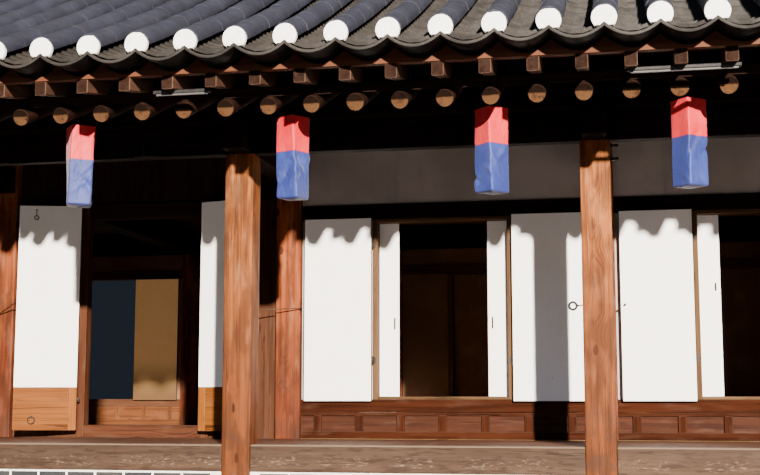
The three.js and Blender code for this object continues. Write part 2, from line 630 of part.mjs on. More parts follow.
// One room bay of the inner wall: panelled sill, plaster, window frame with its sliding sashes, two leaves.
function makeRoomBay(index, number) {
  const bay = bayGroup(index);
  const sillZ = FLOOR + SILL_TOP;
  const topZ = FLOOR + WINDOW_TOP;
  const opening = block(-WINDOW_HALF, WINDOW_HALF, -POST, POST, sillZ - POST, topZ);
  const wall = block(-BAY_FACE, BAY_FACE, WALL_FRONT, WALL_BACK, sillZ, INNER_POST_TOP).subtract(opening);
  place(`room_wall_${number}`, geometryOf(wall), MATERIALS.plaster, bay);
  const inner = WINDOW_HALF - JAMB;
  const outer = WINDOW_HALF - SEAT_GAP;
  const sashEdge = inner - SASH_SHOWS;
  const hingeFront = TIMBER_FRONT - LEAF_STAND_OFF;
  const ring = block(-outer, outer, TIMBER_FRONT, FRAME_BACK, sillZ - 5, topZ - SEAT_GAP)
    .subtract(block(-inner, inner, -POST, POST, sillZ + SILL_LIP, topZ - JAMB));
  const pieces = [
    block(-BAY_FACE, BAY_FACE, WALL_FRONT, WALL_BACK, FLOOR, sillZ),
    block(-BAY_FACE, BAY_FACE, TIMBER_FRONT, WALL_BACK, FLOOR, FLOOR + FOOT_RAIL),
    block(-BAY_FACE, BAY_FACE, TIMBER_FRONT, WALL_BACK, FLOOR + TOP_RAIL_BOTTOM, sillZ),
    block(-BAY_FACE, BAY_FACE, TIMBER_FRONT, WALL_FRONT, topZ - 10, topZ + LINTEL_HEIGHT),
    ring,
  ];
  for (let i = 0; i <= PANEL_COUNT; i += 1) {
    const x = (i - PANEL_COUNT / 2) * PANEL_PITCH;
    pieces.push(block(x - STILE / 2, x + STILE / 2, TIMBER_FRONT + 4, WALL_BACK, FLOOR, sillZ - 10));
  }
  for (const side of [-1, 1]) {
    const jambX = side * (inner + 5);
    pieces.push(block(side * sashEdge, jambX, SASH.front, SASH.back, sillZ + 20, topZ - JAMB + 5));
    for (const height of LEAF_HINGES.heights) {
      const z = sillZ + height;
      const near = side * (WINDOW_HALF - LEAF_HINGES.inner);
      const far = side * (WINDOW_HALF + LEAF_HINGES.outer);
      pieces.push(block(near, far, hingeFront, TIMBER_FRONT + 10, z, z + LEAF_HINGES.height));
    }
  }
  place(`window_frame_${number}`, geometryOf(joined(pieces)), MATERIALS.timber, bay);
  const width = WINDOW_HALF - LEAF_GAP;
  const leaf = new THREE.BoxGeometry(width, LEAF_THICK, LEAF_TOP - LEAF_BOTTOM);
  const leafX = WINDOW_HALF + LEAF_GAP + width / 2;
  const leafY = hingeFront - LEAF_THICK / 2;
  const leafZ = FLOOR + (LEAF_TOP + LEAF_BOTTOM) / 2;
  place(`window_leaf_${number}_left`, leaf, MATERIALS.paper, bay).position.set(-leafX, leafY, leafZ);
  place(`window_leaf_${number}_right`, leaf, MATERIALS.paper, bay).position.set(leafX, leafY, leafZ);
}

const HINGE_Y = TIMBER_FRONT - HINGE_STAND_OFF;
const JAMB_OUT = DOOR_HALF + DOOR_JAMB;
const HEAD_Z = FLOOR + DOOR_TOP + DOOR_LINTEL;

function hingeSocket(side, height) {
  const z1 = FLOOR + height;
  const z0 = z1 - KNUCKLE_HEIGHT;
  const back = HINGE_Y + KNUCKLE_HALF;
  const front = HINGE_Y - KNUCKLE_HALF;
  const armFrom = side * (HINGE_X - KNUCKLE_HALF);
  const legFrom = side * (HINGE_X + SOCKET_LEG.from);
  const legTo = side * (HINGE_X + SOCKET_LEG.to);
  const hole = upright(PIN_HOLE_RADIUS, z0 - 5, z1 + 5).translate([side * HINGE_X, HINGE_Y, 0]);
  return block(armFrom, legTo, front, back, z0, z1)
    .add(block(legFrom, legTo, front, TIMBER_FRONT + 10, z0, z1))
    .subtract(hole);
}

// A leaf shut in its frame, measured from its hinge pin, reaching towards the middle of the doorway.
function doorLeaf(reach) {
  const bottom = FLOOR + DOOR_LEAF_BOTTOM;
  const top = FLOOR + DOOR_LEAF_TOP;
  const split = FLOOR + DOOR_PAPER_BOTTOM;
  const span = (a, b, y0, y1, z0, z1) => block(reach * a, reach * b, y0, y1, z0, z1);
  const from = DOOR_EDGE + DOOR_STILE;
  const to = DOOR_TIP - DOOR_STILE;
  const back = DOOR_SET + LEAF_THICK;
  let leaf = span(DOOR_EDGE, DOOR_TIP, DOOR_SET, back, bottom, top);
  for (const [z0, z1] of [[bottom + 60, split - 60], [split, top - 60]]) {
    leaf = leaf.subtract(span(from, to, 0, DOOR_SET + DOOR_RELIEF, z0, z1));
  }
  for (const height of HINGE_HEIGHTS) {
    const z = FLOOR + height;
    leaf = leaf
      .add(span(-KNUCKLE_HALF, DOOR_EDGE + 40, -KNUCKLE_HALF, DOOR_SET + 4, z + 0.5, z + KNUCKLE_HEIGHT))
      .add(upright(PIN_RADIUS, z - KNUCKLE_HEIGHT, z + KNUCKLE_HEIGHT / 2));
  }
  return leaf;
}

// The hall doorway: frame with hinge sockets, boarded walls round it, and two leaves that swing out.
function makeOpenHallBay() {
  const bay = bayGroup(OPEN_HALL_BAY);
  let frame = block(-JAMB_OUT, JAMB_OUT, TIMBER_FRONT, WALL_BACK, FLOOR, HEAD_Z)
    .subtract(block(-DOOR_HALF, DOOR_HALF, -POST, POST, FLOOR + DOOR_BOTTOM, FLOOR + DOOR_TOP));
  for (const side of [-1, 1]) {
    for (const height of HINGE_HEIGHTS) {
      frame = frame.add(hingeSocket(side, height));
    }
  }
  place('door_frame', geometryOf(frame), MATERIALS.timber, bay);
  const sideBoards = new THREE.BoxGeometry(BAY_FACE - JAMB_OUT, -2 * WALL_FRONT, HEAD_Z - FLOOR);
  const sideX = (BAY_FACE + JAMB_OUT) / 2;
  place('hall_wall_left', sideBoards, MATERIALS.timber, bay).position.set(-sideX, 0, (FLOOR + HEAD_Z) / 2);
  place('hall_wall_right', sideBoards, MATERIALS.timber, bay).position.set(sideX, 0, (FLOOR + HEAD_Z) / 2);
  const topBoards = new THREE.BoxGeometry(2 * BAY_FACE, -2 * WALL_FRONT, INNER_POST_TOP - HEAD_Z);
  place('hall_wall_top', topBoards, MATERIALS.darkTimber, bay).position.z = (HEAD_Z + INNER_POST_TOP) / 2;
  for (const [name, side] of [['left', -1], ['right', 1]]) {
    const hinge = new THREE.Group();
    hinge.position.set(side * HINGE_X, HINGE_Y, 0);
    hinge.rotation.z = side * THREE.MathUtils.degToRad(DOOR_REST_DEG);
    bay.add(hinge);
    place(`door_leaf_${name}`, geometryOf(doorLeaf(-side)), MATERIALS.paper, hinge);
  }
}

// The other hall bay repeats the doorway with its leaves shut, as one fixed wall.
function makeShutHallBay() {
  const bay = bayGroup(SHUT_HALL_BAY);
  const leafFront = HINGE_Y + DOOR_SET;
  const edge = HINGE_X - DOOR_EDGE;
  const bottom = FLOOR + DOOR_LEAF_BOTTOM;
  const top = FLOOR + DOOR_LEAF_TOP;
  const front = joined([
    block(-BAY_FACE, BAY_FACE, WALL_FRONT, -WALL_FRONT, FLOOR, INNER_POST_TOP),
    block(-JAMB_OUT, JAMB_OUT, TIMBER_FRONT, -WALL_FRONT, FLOOR, HEAD_Z),
    block(-edge, edge, leafFront, TIMBER_FRONT + 5, bottom, top),
  ]).subtract(block(-3, 3, leafFront - 5, leafFront + LEAF_THICK, bottom - 5, top + 5));
  place('shut_hall_front', geometryOf(front), MATERIALS.timber, bay);
}

function makeLanterns() {
  const half = LANTERN_SIDE / 2;
  const middle = FLOOR + (LANTERN_BOTTOM + LANTERN_TOP) / 2;
  const hookFrom = FLOOR + LANTERN_TOP - 20;
  const hookTo = rafterBottom(LANTERN_Y - HOOK_HALF) - SEAT_GAP;
  LANTERNS.forEach(({ x, turn }, index) => {
    const nearest = RAFTER_START + Math.round((x - RAFTER_START) / RAFTER_PITCH) * RAFTER_PITCH;
    const hookX = THREE.MathUtils.clamp(nearest - x, 15 - half, half - 15);
    const shade = new THREE.BoxGeometry(LANTERN_SIDE, LANTERN_SIDE, LANTERN_TOP - LANTERN_BOTTOM);
    shade.rotateZ(turn);
    shade.translate(0, 0, middle);
    const hook = block(hookX - HOOK_HALF, hookX + HOOK_HALF, -HOOK_HALF, HOOK_HALF, hookFrom, hookTo);
    place(`lantern_${index + 1}`, geometryOf(solid(shade).add(hook)), MATERIALS.silk)
      .position.set(x, LANTERN_Y, 0);
  });
}

makeBase();
makePillars();
makeFloors();
makeCrossBeams();
makePurlins();
makeRafters();
makeRoof();
makeGableBoards();
makeRoofFrame();
makeCeiling();
makeSideWalls();
makeRearWalls();
makeShutHallBay();
makeOpenHallBay();
ROOM_BAYS.forEach((index, i) => makeRoomBay(index, i + 1));
makeLanterns();

export default house;
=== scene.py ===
import math
import random
from contextlib import contextmanager

import bpy
from mathutils import Matrix, Vector


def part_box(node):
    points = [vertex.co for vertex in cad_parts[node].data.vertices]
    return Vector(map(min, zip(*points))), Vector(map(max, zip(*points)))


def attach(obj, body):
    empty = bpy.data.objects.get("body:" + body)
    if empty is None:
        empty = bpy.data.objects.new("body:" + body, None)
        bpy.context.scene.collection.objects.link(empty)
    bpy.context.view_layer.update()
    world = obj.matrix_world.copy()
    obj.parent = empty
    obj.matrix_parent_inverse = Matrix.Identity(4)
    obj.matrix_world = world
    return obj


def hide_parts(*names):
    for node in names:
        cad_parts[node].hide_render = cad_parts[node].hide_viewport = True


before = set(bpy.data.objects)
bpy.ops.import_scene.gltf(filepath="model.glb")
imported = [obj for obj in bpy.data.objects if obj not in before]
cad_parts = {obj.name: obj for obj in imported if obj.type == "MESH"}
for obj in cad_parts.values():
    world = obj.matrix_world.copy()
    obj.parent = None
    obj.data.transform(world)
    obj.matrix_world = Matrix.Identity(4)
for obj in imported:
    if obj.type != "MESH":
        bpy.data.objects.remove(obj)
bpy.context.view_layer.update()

# The camera stands in the yard in front of the right half of the house, a little above the knee,
# and looks up and to the left at the eaves, the veranda and the windows.
camera_data = bpy.data.cameras.new("yard_camera")
camera_data.sensor_width = 36
camera_data.lens = 59.58
camera = bpy.data.objects.new("yard_camera", camera_data)
camera.location = (2.9119, -12.4794, 0.8844)
camera.rotation_euler = (math.radians(97.284), 0, math.radians(11.175))
bpy.context.scene.collection.objects.link(camera)
bpy.context.scene.camera = camera


# The studio: a plain pale floor, a warm lamp far off in front on the right that stands for the sun,
# wide cool lamps for the sky in front and above, one lamp behind the house, and a dim surround.
def aim(thing, target):
    direction = Vector(target) - thing.location
    thing.rotation_euler = direction.to_track_quat("-Z", "Y").to_euler()


def add_softbox(name, place, target, side, watts, colour):
    data = bpy.data.lights.new(name, "AREA")
    data.shape = "DISK"
    data.size = side
    data.energy = watts
    data.color = colour
    lamp = bpy.data.objects.new(name, data)
    lamp.location = place
    bpy.context.scene.collection.objects.link(lamp)
    aim(lamp, target)


add_softbox("front_softbox", (15.2, -42.5, 12.0), (1.0, -2.5, 1.8), 0.9, 115000, (1.0, 0.90, 0.79))
add_softbox("sky_softbox", (-8, -32, 17), (0, -2, 1), 12.0, 1700, (0.42, 0.68, 1.0))
add_softbox("top_softbox", (0, -3, 16), (0, 0, 3), 9.0, 220, (0.88, 0.94, 1.0))
add_softbox("rear_softbox", (17, 30, 12), (0, 2, 2), 3.0, 30000, (0.95, 0.97, 1.0))
world = bpy.data.worlds.new("surround")
world.use_nodes = True
world.node_tree.nodes["Background"].inputs["Color"].default_value = (0.50, 0.66, 0.90, 1)
world.node_tree.nodes["Background"].inputs["Strength"].default_value = 0.028
bpy.context.scene.world = world

bpy.ops.object.select_all(action="DESELECT")
bpy.ops.mesh.primitive_plane_add(size=22, location=(0, 0, 0))
studio_floor = bpy.context.object
studio_floor.name = "studio_floor"


def add_node(tree, kind, inputs=(), **settings):
    """A shader node. An input takes a node's output or a plain value; a colour needs no alpha."""
    made = tree.nodes.new(kind)
    for name, value in settings.items():
        setattr(made, name, value)
    for key, value in dict(inputs).items():
        given = made.inputs[key]
        if isinstance(value, bpy.types.NodeSocket):
            tree.links.new(value, given)
        else:
            given.default_value = (*value, 1) if given.type == "RGBA" and len(value) == 3 else value
    return made


def new_material(name, roughness=0.8, specular=0.3):
    """An empty material: its tree, its shader and the place on the piece, in metres."""
    material = bpy.data.materials.new(name)
    material.use_nodes = True
    tree = material.node_tree
    shader = tree.nodes["Principled BSDF"]
    shader.inputs["Roughness"].default_value = roughness
    shader.inputs["Specular IOR Level"].default_value = specular
    place = add_node(tree, "ShaderNodeTexCoord").outputs["Object"]
    return material, tree, shader, place


def noise(tree, place, scale, detail=4.0, stretch=(1, 1, 1), distortion=0.0):
    """Soft noise from 0 to 1, squeezed by stretch along each axis."""
    squeezed = add_node(tree, "ShaderNodeMapping", {"Vector": place, "Scale": stretch}).outputs["Vector"]
    return add_node(tree, "ShaderNodeTexNoise", {
        "Vector": squeezed, "Scale": scale, "Detail": detail, "Distortion": distortion,
    }).outputs["Fac"]


def fade(tree, value, low, high):
    """0 below low, 1 above high, or the other way round where low is the larger."""
    return add_node(tree, "ShaderNodeMapRange", {
        "Value": value, "From Min": low, "From Max": high,
    }, interpolation_type="SMOOTHSTEP").outputs["Result"]


def split(tree, vector):
    """The outputs X, Y and Z of a vector."""
    return add_node(tree, "ShaderNodeSeparateXYZ", {"Vector": vector}).outputs


def reckon(tree, operation, first, second=0.0):
    return add_node(tree, "ShaderNodeMath", {0: first, 1: second}, operation=operation).outputs[0]


def times(tree, first, second):
    return reckon(tree, "MULTIPLY", first, second)


def plus(tree, first, second):
    return reckon(tree, "ADD", first, second)


def minus(tree, first, second):
    return reckon(tree, "SUBTRACT", first, second)


def mix(tree, amount, first, second, blend="MIX"):
    made = add_node(
        tree, "ShaderNodeMix", {0: amount, 6: first, 7: second}, data_type="RGBA", blend_type=blend,
    )
    return made.outputs[2]


def stain(tree, colour, mask, strength, tint):
    """The colour with a tint laid over it where the mask is, at most as strongly as it says."""
    return mix(tree, times(tree, mask, strength), colour, tint)


def scaled(colour, factor):
    return [factor * value for value in colour]


def add_bump(tree, shader, height, depth):
    bump = add_node(tree, "ShaderNodeBump", {"Height": height, "Distance": depth, "Strength": 1.0})
    tree.links.new(bump.outputs["Normal"], shader.inputs["Normal"])


def paint(tree, shader, colour):
    tree.links.new(colour, shader.inputs["Base Color"])


floor_material, tree, shader, place = new_material("pale_studio_floor", 0.9, 0.2)
paint(tree, shader, mix(tree, noise(tree, place, 0.8), (0.20, 0.20, 0.20), (0.235, 0.235, 0.235)))
studio_floor.data.materials.append(floor_material)


# Front and inner pillars: squared pine posts, planed by hand and oiled, with eased edges.
# The grain runs up the post; knots, dark growth rings and long drying cracks show through the oil.
def vectors(tree, operation, first, second=(0, 0, 0)):
    made = add_node(tree, "ShaderNodeVectorMath", {0: first, 1: second}, operation=operation)
    return made.outputs["Value" if operation == "LENGTH" else "Vector"]


def add_group(name, colours, values, results):
    """An empty node group with its sockets, and what it is given and gives back."""
    group = bpy.data.node_groups.new(name, "ShaderNodeTree")
    for label in colours:
        group.interface.new_socket(name=label, in_out="INPUT", socket_type="NodeSocketColor")
    for label in values:
        group.interface.new_socket(name=label, in_out="INPUT", socket_type="NodeSocketFloat")
    group.interface.new_socket(name="Color", in_out="OUTPUT", socket_type="NodeSocketColor")
    for label in results:
        group.interface.new_socket(name=label, in_out="OUTPUT", socket_type="NodeSocketFloat")
    return group, group.nodes.new("NodeGroupInput").outputs, group.nodes.new("NodeGroupOutput").inputs


def make_timber_group():
    """Shared look of all timber. Each point knows its place in its board, whose grain runs along Z."""
    group, given, result = add_group(
        "timber_grain", ("Pale", "Dark"), ("Age", "Rings", "Heart"), ("Roughness", "Height"),
    )
    spot = add_node(group, "ShaderNodeAttribute", attribute_name="grain").outputs["Vector"]
    half = add_node(group, "ShaderNodeAttribute", attribute_name="half").outputs["Vector"]
    own = add_node(group, "ShaderNodeAttribute", attribute_name="board").outputs["Fac"]
    chance = add_node(group, "ShaderNodeTexWhiteNoise", {"W": own}, noise_dimensions="1D").outputs["Color"]
    where = vectors(group, "ADD", spot, vectors(group, "MULTIPLY", chance, (53, 53, 53)))
    aside = vectors(group, "SUBTRACT", chance, (0.5, 0.5, 0.5))
    spread = add_node(group, "ShaderNodeCombineXYZ", {"X": given["Heart"], "Y": given["Heart"]}).outputs[0]
    round_heart = vectors(
        group, "MULTIPLY", vectors(group, "ADD", spot, vectors(group, "MULTIPLY", aside, spread)),
        (1, 1, 0),
    )
    low = noise(group, where, 2.2, 2, (1, 1, 0.3))
    fine = noise(group, where, 45, 3, (1, 1, 0.04))
    fibres = noise(group, where, 230, 4, (1, 1, 0.014))
    streaks = noise(group, where, 30, 5, (1, 1, 0.035))

    heart_parts = split(group, round_heart)
    along = split(group, where)["Z"]
    turn = reckon(group, "ARCTAN2", heart_parts["Y"], heart_parts["X"])
    cell = add_node(group, "ShaderNodeCombineXYZ", {
        "X": plus(group, times(group, turn, 0.44), times(group, own, 31.0)),
        "Y": times(group, along, 2.3),
    }).outputs[0]
    branch = add_node(
        group, "ShaderNodeTexVoronoi", {"Vector": cell, "Scale": 1.0}, voronoi_dimensions="2D",
    )
    distance = plus(group, branch.outputs["Distance"], times(group, fine, 0.05))
    knots = times(
        group, fade(group, distance, 0.125, 0.095), fade(group, branch.outputs["Color"], 0.64, 0.66),
    )
    near_heart = fade(group, given["Heart"], 0.30, 0.15)
    knots = times(group, knots, near_heart)
    swell = times(group, fade(group, distance, 0.50, 0.05), 0.024)

    radius = plus(group, vectors(group, "LENGTH", round_heart), times(group, low, 0.060))
    radius = plus(group, radius, times(group, fine, 0.0028))
    radius = plus(group, radius, swell)
    rings = reckon(group, "SINE", times(group, radius, 690.0))
    strength = fade(group, noise(group, where, 3.3, 3, (1, 1, 0.35)), 0.30, 0.66)
    late_wood = times(group, fade(group, rings, 0.0, 1.0), times(group, strength, given["Rings"]))

    amount = plus(group, times(group, late_wood, 0.80), times(group, fade(group, fibres, 0.35, 0.7), 0.20))
    amount = plus(group, amount, times(group, fade(group, streaks, 0.42, 0.62), 0.62))
    tone = mix(group, amount, given["Pale"], given["Dark"])
    stains = fade(group, noise(group, where, 1.7, 5, (1, 1, 0.5)), 0.47, 0.72)
    tone = stain(group, tone, stains, 0.55, given["Dark"])
    parts = add_node(group, "ShaderNodeSeparateColor", {"Color": given["Pale"]}).outputs
    worn = add_node(group, "ShaderNodeCombineColor", {
        "Red": times(group, parts["Red"], 1.35),
        "Green": times(group, plus(group, parts["Green"], times(group, parts["Red"], 0.2)), 1.35),
        "Blue": times(group, plus(group, parts["Blue"], times(group, parts["Red"], 0.2)), 1.35),
    }).outputs[0]
    scuffs = fade(group, noise(group, where, 16, 6, (1, 1, 0.22)), 0.52, 0.70)
    tone = mix(group, times(group, scuffs, given["Age"]), tone, worn)

    gaps = split(group, vectors(group, "SUBTRACT", half, vectors(group, "ABSOLUTE", spot)))
    larger = reckon(group, "MAXIMUM", gaps["X"], gaps["Y"])
    edge = reckon(
        group, "MAXIMUM", reckon(group, "MINIMUM", gaps["X"], gaps["Y"]),
        reckon(group, "MINIMUM", larger, gaps["Z"]),
    )
    edge = plus(group, edge, times(group, noise(group, where, 24, 4, (1, 1, 0.4)), 0.014))
    rubbed = times(group, fade(group, edge, 0.016, 0.006), plus(group, given["Age"], 0.15))
    tone = mix(group, rubbed, tone, worn)

    shade = mix(group, 0.7, given["Dark"], (0.004, 0.002, 0.001))
    tone = stain(group, tone, knots, 0.95, shade)
    bands = reckon(group, "ABSOLUTE", minus(group, noise(group, where, 13, 2, (1, 1, 0.028)), 0.5))
    cracks = times(
        group, fade(group, bands, 0.0080, 0.0025), fade(group, noise(group, where, 1.9, 2), 0.50, 0.60),
    )
    tone = stain(group, tone, cracks, 0.85, shade)
    group.links.new(tone, result["Color"])
    rough = plus(group, times(group, fibres, 0.25), 0.48)
    group.links.new(plus(group, rough, times(group, given["Age"], 0.25)), result["Roughness"])
    relief = plus(group, times(group, fibres, 0.4), times(group, streaks, 0.5))
    relief = plus(group, relief, times(group, late_wood, 0.3))
    relief = minus(group, relief, times(group, cracks, 1.8))
    group.links.new(minus(group, relief, times(group, scuffs, 0.3)), result["Height"])
    return group


timber_group = make_timber_group()
board_numbers = random.Random(5)


def timber_material(name, pale, dark, age=0.2, rings=0.6, relief=0.002, heart=0.34, weather_and_light=None):
    """Timber of one colour. Its weather_and_light function changes the colour by the place on the house:
    weathering, a height tint on the pillars, and painted light on the scalloped board.
    """
    material, tree, shader, place = new_material(name, 0.8, 0.12 if pale[0] > 0.05 else 0.03)
    grain = add_node(tree, "ShaderNodeGroup", {}, node_tree=timber_group)
    for label, value in (
        ("Pale", (*pale, 1)), ("Dark", (*dark, 1)), ("Age", age), ("Rings", rings), ("Heart", heart),
    ):
        grain.inputs[label].default_value = value
    own = add_node(tree, "ShaderNodeAttribute", attribute_name="board").outputs["Fac"]
    level = add_node(
        tree, "ShaderNodeMapRange", {"Value": own, "To Min": 0.84, "To Max": 1.12},
    ).outputs["Result"]
    shade = add_node(
        tree, "ShaderNodeCombineColor", {axis: level for axis in ("Red", "Green", "Blue")},
    ).outputs[0]
    colour = mix(tree, 1.0, grain.outputs["Color"], shade, "MULTIPLY")
    if weather_and_light is not None:
        colour = weather_and_light(tree, place, colour)
    paint(tree, shader, colour)
    tree.links.new(grain.outputs["Roughness"], shader.inputs["Roughness"])
    add_bump(tree, shader, grain.outputs["Height"], relief)
    return material


def number_board(piece):
    """Gives a board a number of its own, which shifts its grain and its tone."""
    mesh = piece.data
    own = mesh.attributes.get("board") or mesh.attributes.new("board", "FLOAT", "POINT")
    own.data.foreach_set("value", [board_numbers.random()] * len(mesh.vertices))
    return piece


def mark_board(piece, direction=None):
    """Keeps each point's place in its board: twice across the grain, then along it, from the middle."""
    mesh = piece.data
    if direction is None:
        spans = [[vertex.co[i] for vertex in mesh.vertices] for i in range(3)]
        sizes = [max(span) - min(span) for span in spans]
        direction = [float(i == sizes.index(max(sizes))) for i in range(3)]
    along = Vector(direction).normalized()
    across = Vector((0, 1, 0)) if abs(along.x) > 0.5 else Vector((1, 0, 0))
    reaches = [
        [vertex.co.dot(axis) for vertex in mesh.vertices] for axis in (across, along.cross(across), along)
    ]
    middles = [(min(reach) + max(reach)) / 2 for reach in reaches]
    halves = [(max(reach) - min(reach)) / 2 for reach in reaches]
    grain = mesh.attributes.new("grain", "FLOAT_VECTOR", "POINT")
    grain.data.foreach_set("vector", [
        value - middle for values in zip(*reaches) for value, middle in zip(values, middles)
    ])
    mesh.attributes.new("half", "FLOAT_VECTOR", "POINT").data.foreach_set(
        "vector", halves * len(mesh.vertices),
    )
    return number_board(piece)


def add_primitive(add, name, scale=(1, 1, 1), **settings):
    """A primitive at its size and place, with nothing else selected."""
    bpy.ops.object.select_all(action="DESELECT")
    add(**settings)
    piece = bpy.context.object
    piece.name = name
    piece.scale = scale
    bpy.ops.object.transform_apply(location=True, rotation=True, scale=True)
    return piece


LYING_ALONG_Y = (math.radians(90), 0, 0)


def add_block(name, low, high):
    middle = [(a + b) / 2 for a, b in zip(low, high)]
    sizes = [abs(b - a) for a, b in zip(low, high)]
    return add_primitive(bpy.ops.mesh.primitive_cube_add, name, sizes, size=1, location=middle)


@contextmanager
def edit_mode():
    """Edit mode on the active piece, all of it selected."""
    bpy.ops.object.mode_set(mode="EDIT")
    bpy.ops.mesh.select_all(action="SELECT")
    yield
    bpy.ops.object.mode_set(mode="OBJECT")


def smooth(degrees):
    """Smooth shading on the active piece, except over edges that turn by more than this."""
    bpy.ops.object.shade_smooth_by_angle(angle=math.radians(degrees))


def apply_modifier(piece, kind, **settings):
    bpy.ops.object.select_all(action="DESELECT")
    bpy.context.view_layer.objects.active = piece
    piece.select_set(True)
    modifier = piece.modifiers.new(kind.title(), kind)
    for name, value in settings.items():
        setattr(modifier, name, value)
    bpy.ops.object.modifier_apply(modifier=modifier.name)


def ease_edges(piece, width, segments=2):
    """The planed edges of a timber or a board."""
    apply_modifier(
        piece, "BEVEL", width=width, segments=segments, limit_method="ANGLE", harden_normals=False,
    )


def copy_to(piece, name, shift=(0, 0, 0), turn=0.0):
    """A copy with its own mesh, turned about the house's upright axis, then moved."""
    twin = piece.copy()
    twin.data = piece.data.copy()
    twin.name = name
    twin.data.transform(Matrix.Translation(shift) @ Matrix.Rotation(turn, 4, "Z"))
    bpy.context.scene.collection.objects.link(twin)
    return twin


def join_pieces(name, pieces):
    """Joins pieces. Each keeps a number of its own."""
    for piece in pieces:
        if "board" not in piece.data.attributes:
            number_board(piece)
    bpy.ops.object.select_all(action="DESELECT")
    for piece in pieces:
        piece.select_set(True)
    bpy.context.view_layer.objects.active = pieces[0]
    if len(pieces) > 1:
        bpy.ops.object.join()
    pieces[0].name = name
    return pieces[0]


def finish_piece(piece, material, slot, *hidden, body="house"):
    """Gives a piece its material, the body that it rides on and the CAD nodes that it stands for."""
    if material is not None:
        piece.data.materials.clear()
        piece.data.materials.append(material)
    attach(piece, body)
    if hidden:
        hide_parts(*hidden)


def finish_joined(name, pieces, material, slot, *hidden):
    finish_piece(join_pieces(name, pieces), material, slot, *hidden)


BAY = 2.7
FLOOR = 0.54
FRONT_Y = -3.225
INNER_Y = -1.775
REAR_Y = 3.225
PILLAR_X = [-5.4 + BAY * i for i in range(5)]
BAY_X = [-4.05 + BAY * i for i in range(4)]


def pillar_height_tint(tree, place, colour):
    """Lighter and more golden high up, darker and pinker lower down, with dark streaks of patina and dirt
    at the foot.
    """
    height = split(tree, place)["Z"]
    height = plus(tree, height, times(tree, noise(tree, place, 1.8, 3), 0.7))
    foot = mix(tree, 1.0, colour, (0.76, 0.68, 0.68), "MULTIPLY")
    head = mix(tree, 1.0, colour, (1.60, 1.60, 1.35), "MULTIPLY")
    colour = mix(tree, fade(tree, height, 1.1, 2.9), foot, head)
    patina = fade(tree, noise(tree, place, 9, 7, (1, 1, 0.30)), 0.44, 0.60)
    colour = stain(tree, colour, patina, 0.58, (0.038, 0.0115, 0.0040))
    dirt = times(tree, fade(tree, height, 1.35, 0.75), fade(tree, noise(tree, place, 6, 5), 0.45, 0.65))
    return stain(tree, colour, dirt, 0.6, (0.040, 0.021, 0.013))


pillar_wood = timber_material(
    "oiled_pillar_pine", (0.190, 0.060, 0.0150), (0.048, 0.0120, 0.0030), age=0.30, rings=0.6,
    relief=0.0018, heart=0.09, weather_and_light=pillar_height_tint,
)
inner_wood = timber_material(
    "red_pillar_pine", (0.200, 0.050, 0.0150), (0.055, 0.0110, 0.0034), age=0.35, rings=0.5,
    relief=0.0018, heart=0.09, weather_and_light=pillar_height_tint,
)

for row, wood in (("front", pillar_wood), ("inner", inner_wood)):
    for i in range(5):
        node_name = f"{row}_pillar_{i + 1}"
        low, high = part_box(node_name)
        post = add_block(f"{row}_post_{i + 1}", low, high)
        with edit_mode():
            bpy.ops.mesh.subdivide(number_cuts=3)
        ease_edges(post, 0.012, 3)
        smooth(35)
        finish_piece(mark_board(post), wood, "timber", node_name)


# Eaves: round pine rafters carry boards, and square flying rafters reach out over them to the tiles.
# The round ends are sawn across, so their end grain shows pale, with rings and splits from the heart.
def add_profile(name, outline, start, end, axis="X"):
    """A flat outline drawn out along one axis: (y, z) along X, (x, z) along Y, (x, y) along Z."""
    def spot(a, b, along):
        return {"X": (along, a, b), "Y": (a, along, b), "Z": (a, b, along)}[axis]

    piece = add_primitive(bpy.ops.mesh.primitive_circle_add, name, vertices=len(outline), fill_type="NGON")
    for vertex, (a, b) in zip(piece.data.vertices, outline):
        vertex.co = spot(a, b, start)
    with edit_mode():
        bpy.ops.mesh.extrude_region_move(TRANSFORM_OT_translate={"value": spot(0, 0, end - start)})
        bpy.ops.mesh.select_all(action="SELECT")
        bpy.ops.mesh.normals_make_consistent(inside=False)
    return piece


def roughen(piece, size, depth):
    """Small unevenness from hand tools; it never moves a point by more than half the depth."""
    texture = bpy.data.textures.new(f"{piece.name}_tool_marks", "CLOUDS")
    texture.noise_scale = size
    apply_modifier(
        piece, "DISPLACE", texture=texture, strength=depth, mid_level=0.5, texture_coords="GLOBAL",
    )


def rear_twin(piece, name, slot, *hidden):
    """The same eave or slope at the back of the house."""
    twin = copy_to(piece, name, turn=math.pi)
    finish_piece(twin, None, slot, *hidden)
    return twin


def make_end_grain(name, pale, dark, centre_of_ends):
    """Sawn end grain on faces that look along Y, with one set of rings on each rafter; the upper part of
    each end is painted in shadow.
    """
    material, tree, shader, place = new_material(name, 0.85, 0.03)
    offset, pitch, height = centre_of_ends
    parts = split(tree, place)
    across = reckon(tree, "PINGPONG", minus(tree, parts["X"], offset), pitch / 2)
    up = minus(tree, parts["Z"], height)
    spread = reckon(tree, "SQRT", plus(tree, times(tree, across, across), times(tree, up, up)))
    wobble = times(tree, noise(tree, place, 30, 3), 0.012)
    rings = reckon(tree, "SINE", times(tree, plus(tree, spread, wobble), 900.0))
    tone = mix(tree, fade(tree, rings, -0.6, 1.2), pale, dark)
    tone = mix(tree, fade(tree, noise(tree, place, 14, 4), 0.5, 0.7), tone, dark)
    splits = fade(tree, noise(tree, place, 55, 2, (1, 1, 0.35)), 0.66, 0.70)
    tone = mix(tree, splits, tone, (0.02, 0.012, 0.008))
    # Painted shadow: above the middle of each end the grain is painted nearly black, for the shadow of the
    # flying rafters above.
    soot_and_shadow = plus(tree, parts["Z"], times(tree, noise(tree, place, 25, 3), 0.012))
    tone = stain(tree, tone, fade(tree, soot_and_shadow, height + 0.004, height + 0.018), 0.95, (0.004, 0.002, 0.0015))
    paint(tree, shader, tone)
    add_bump(tree, shader, minus(tree, rings, times(tree, splits, 4.0)), 0.0012)
    return material


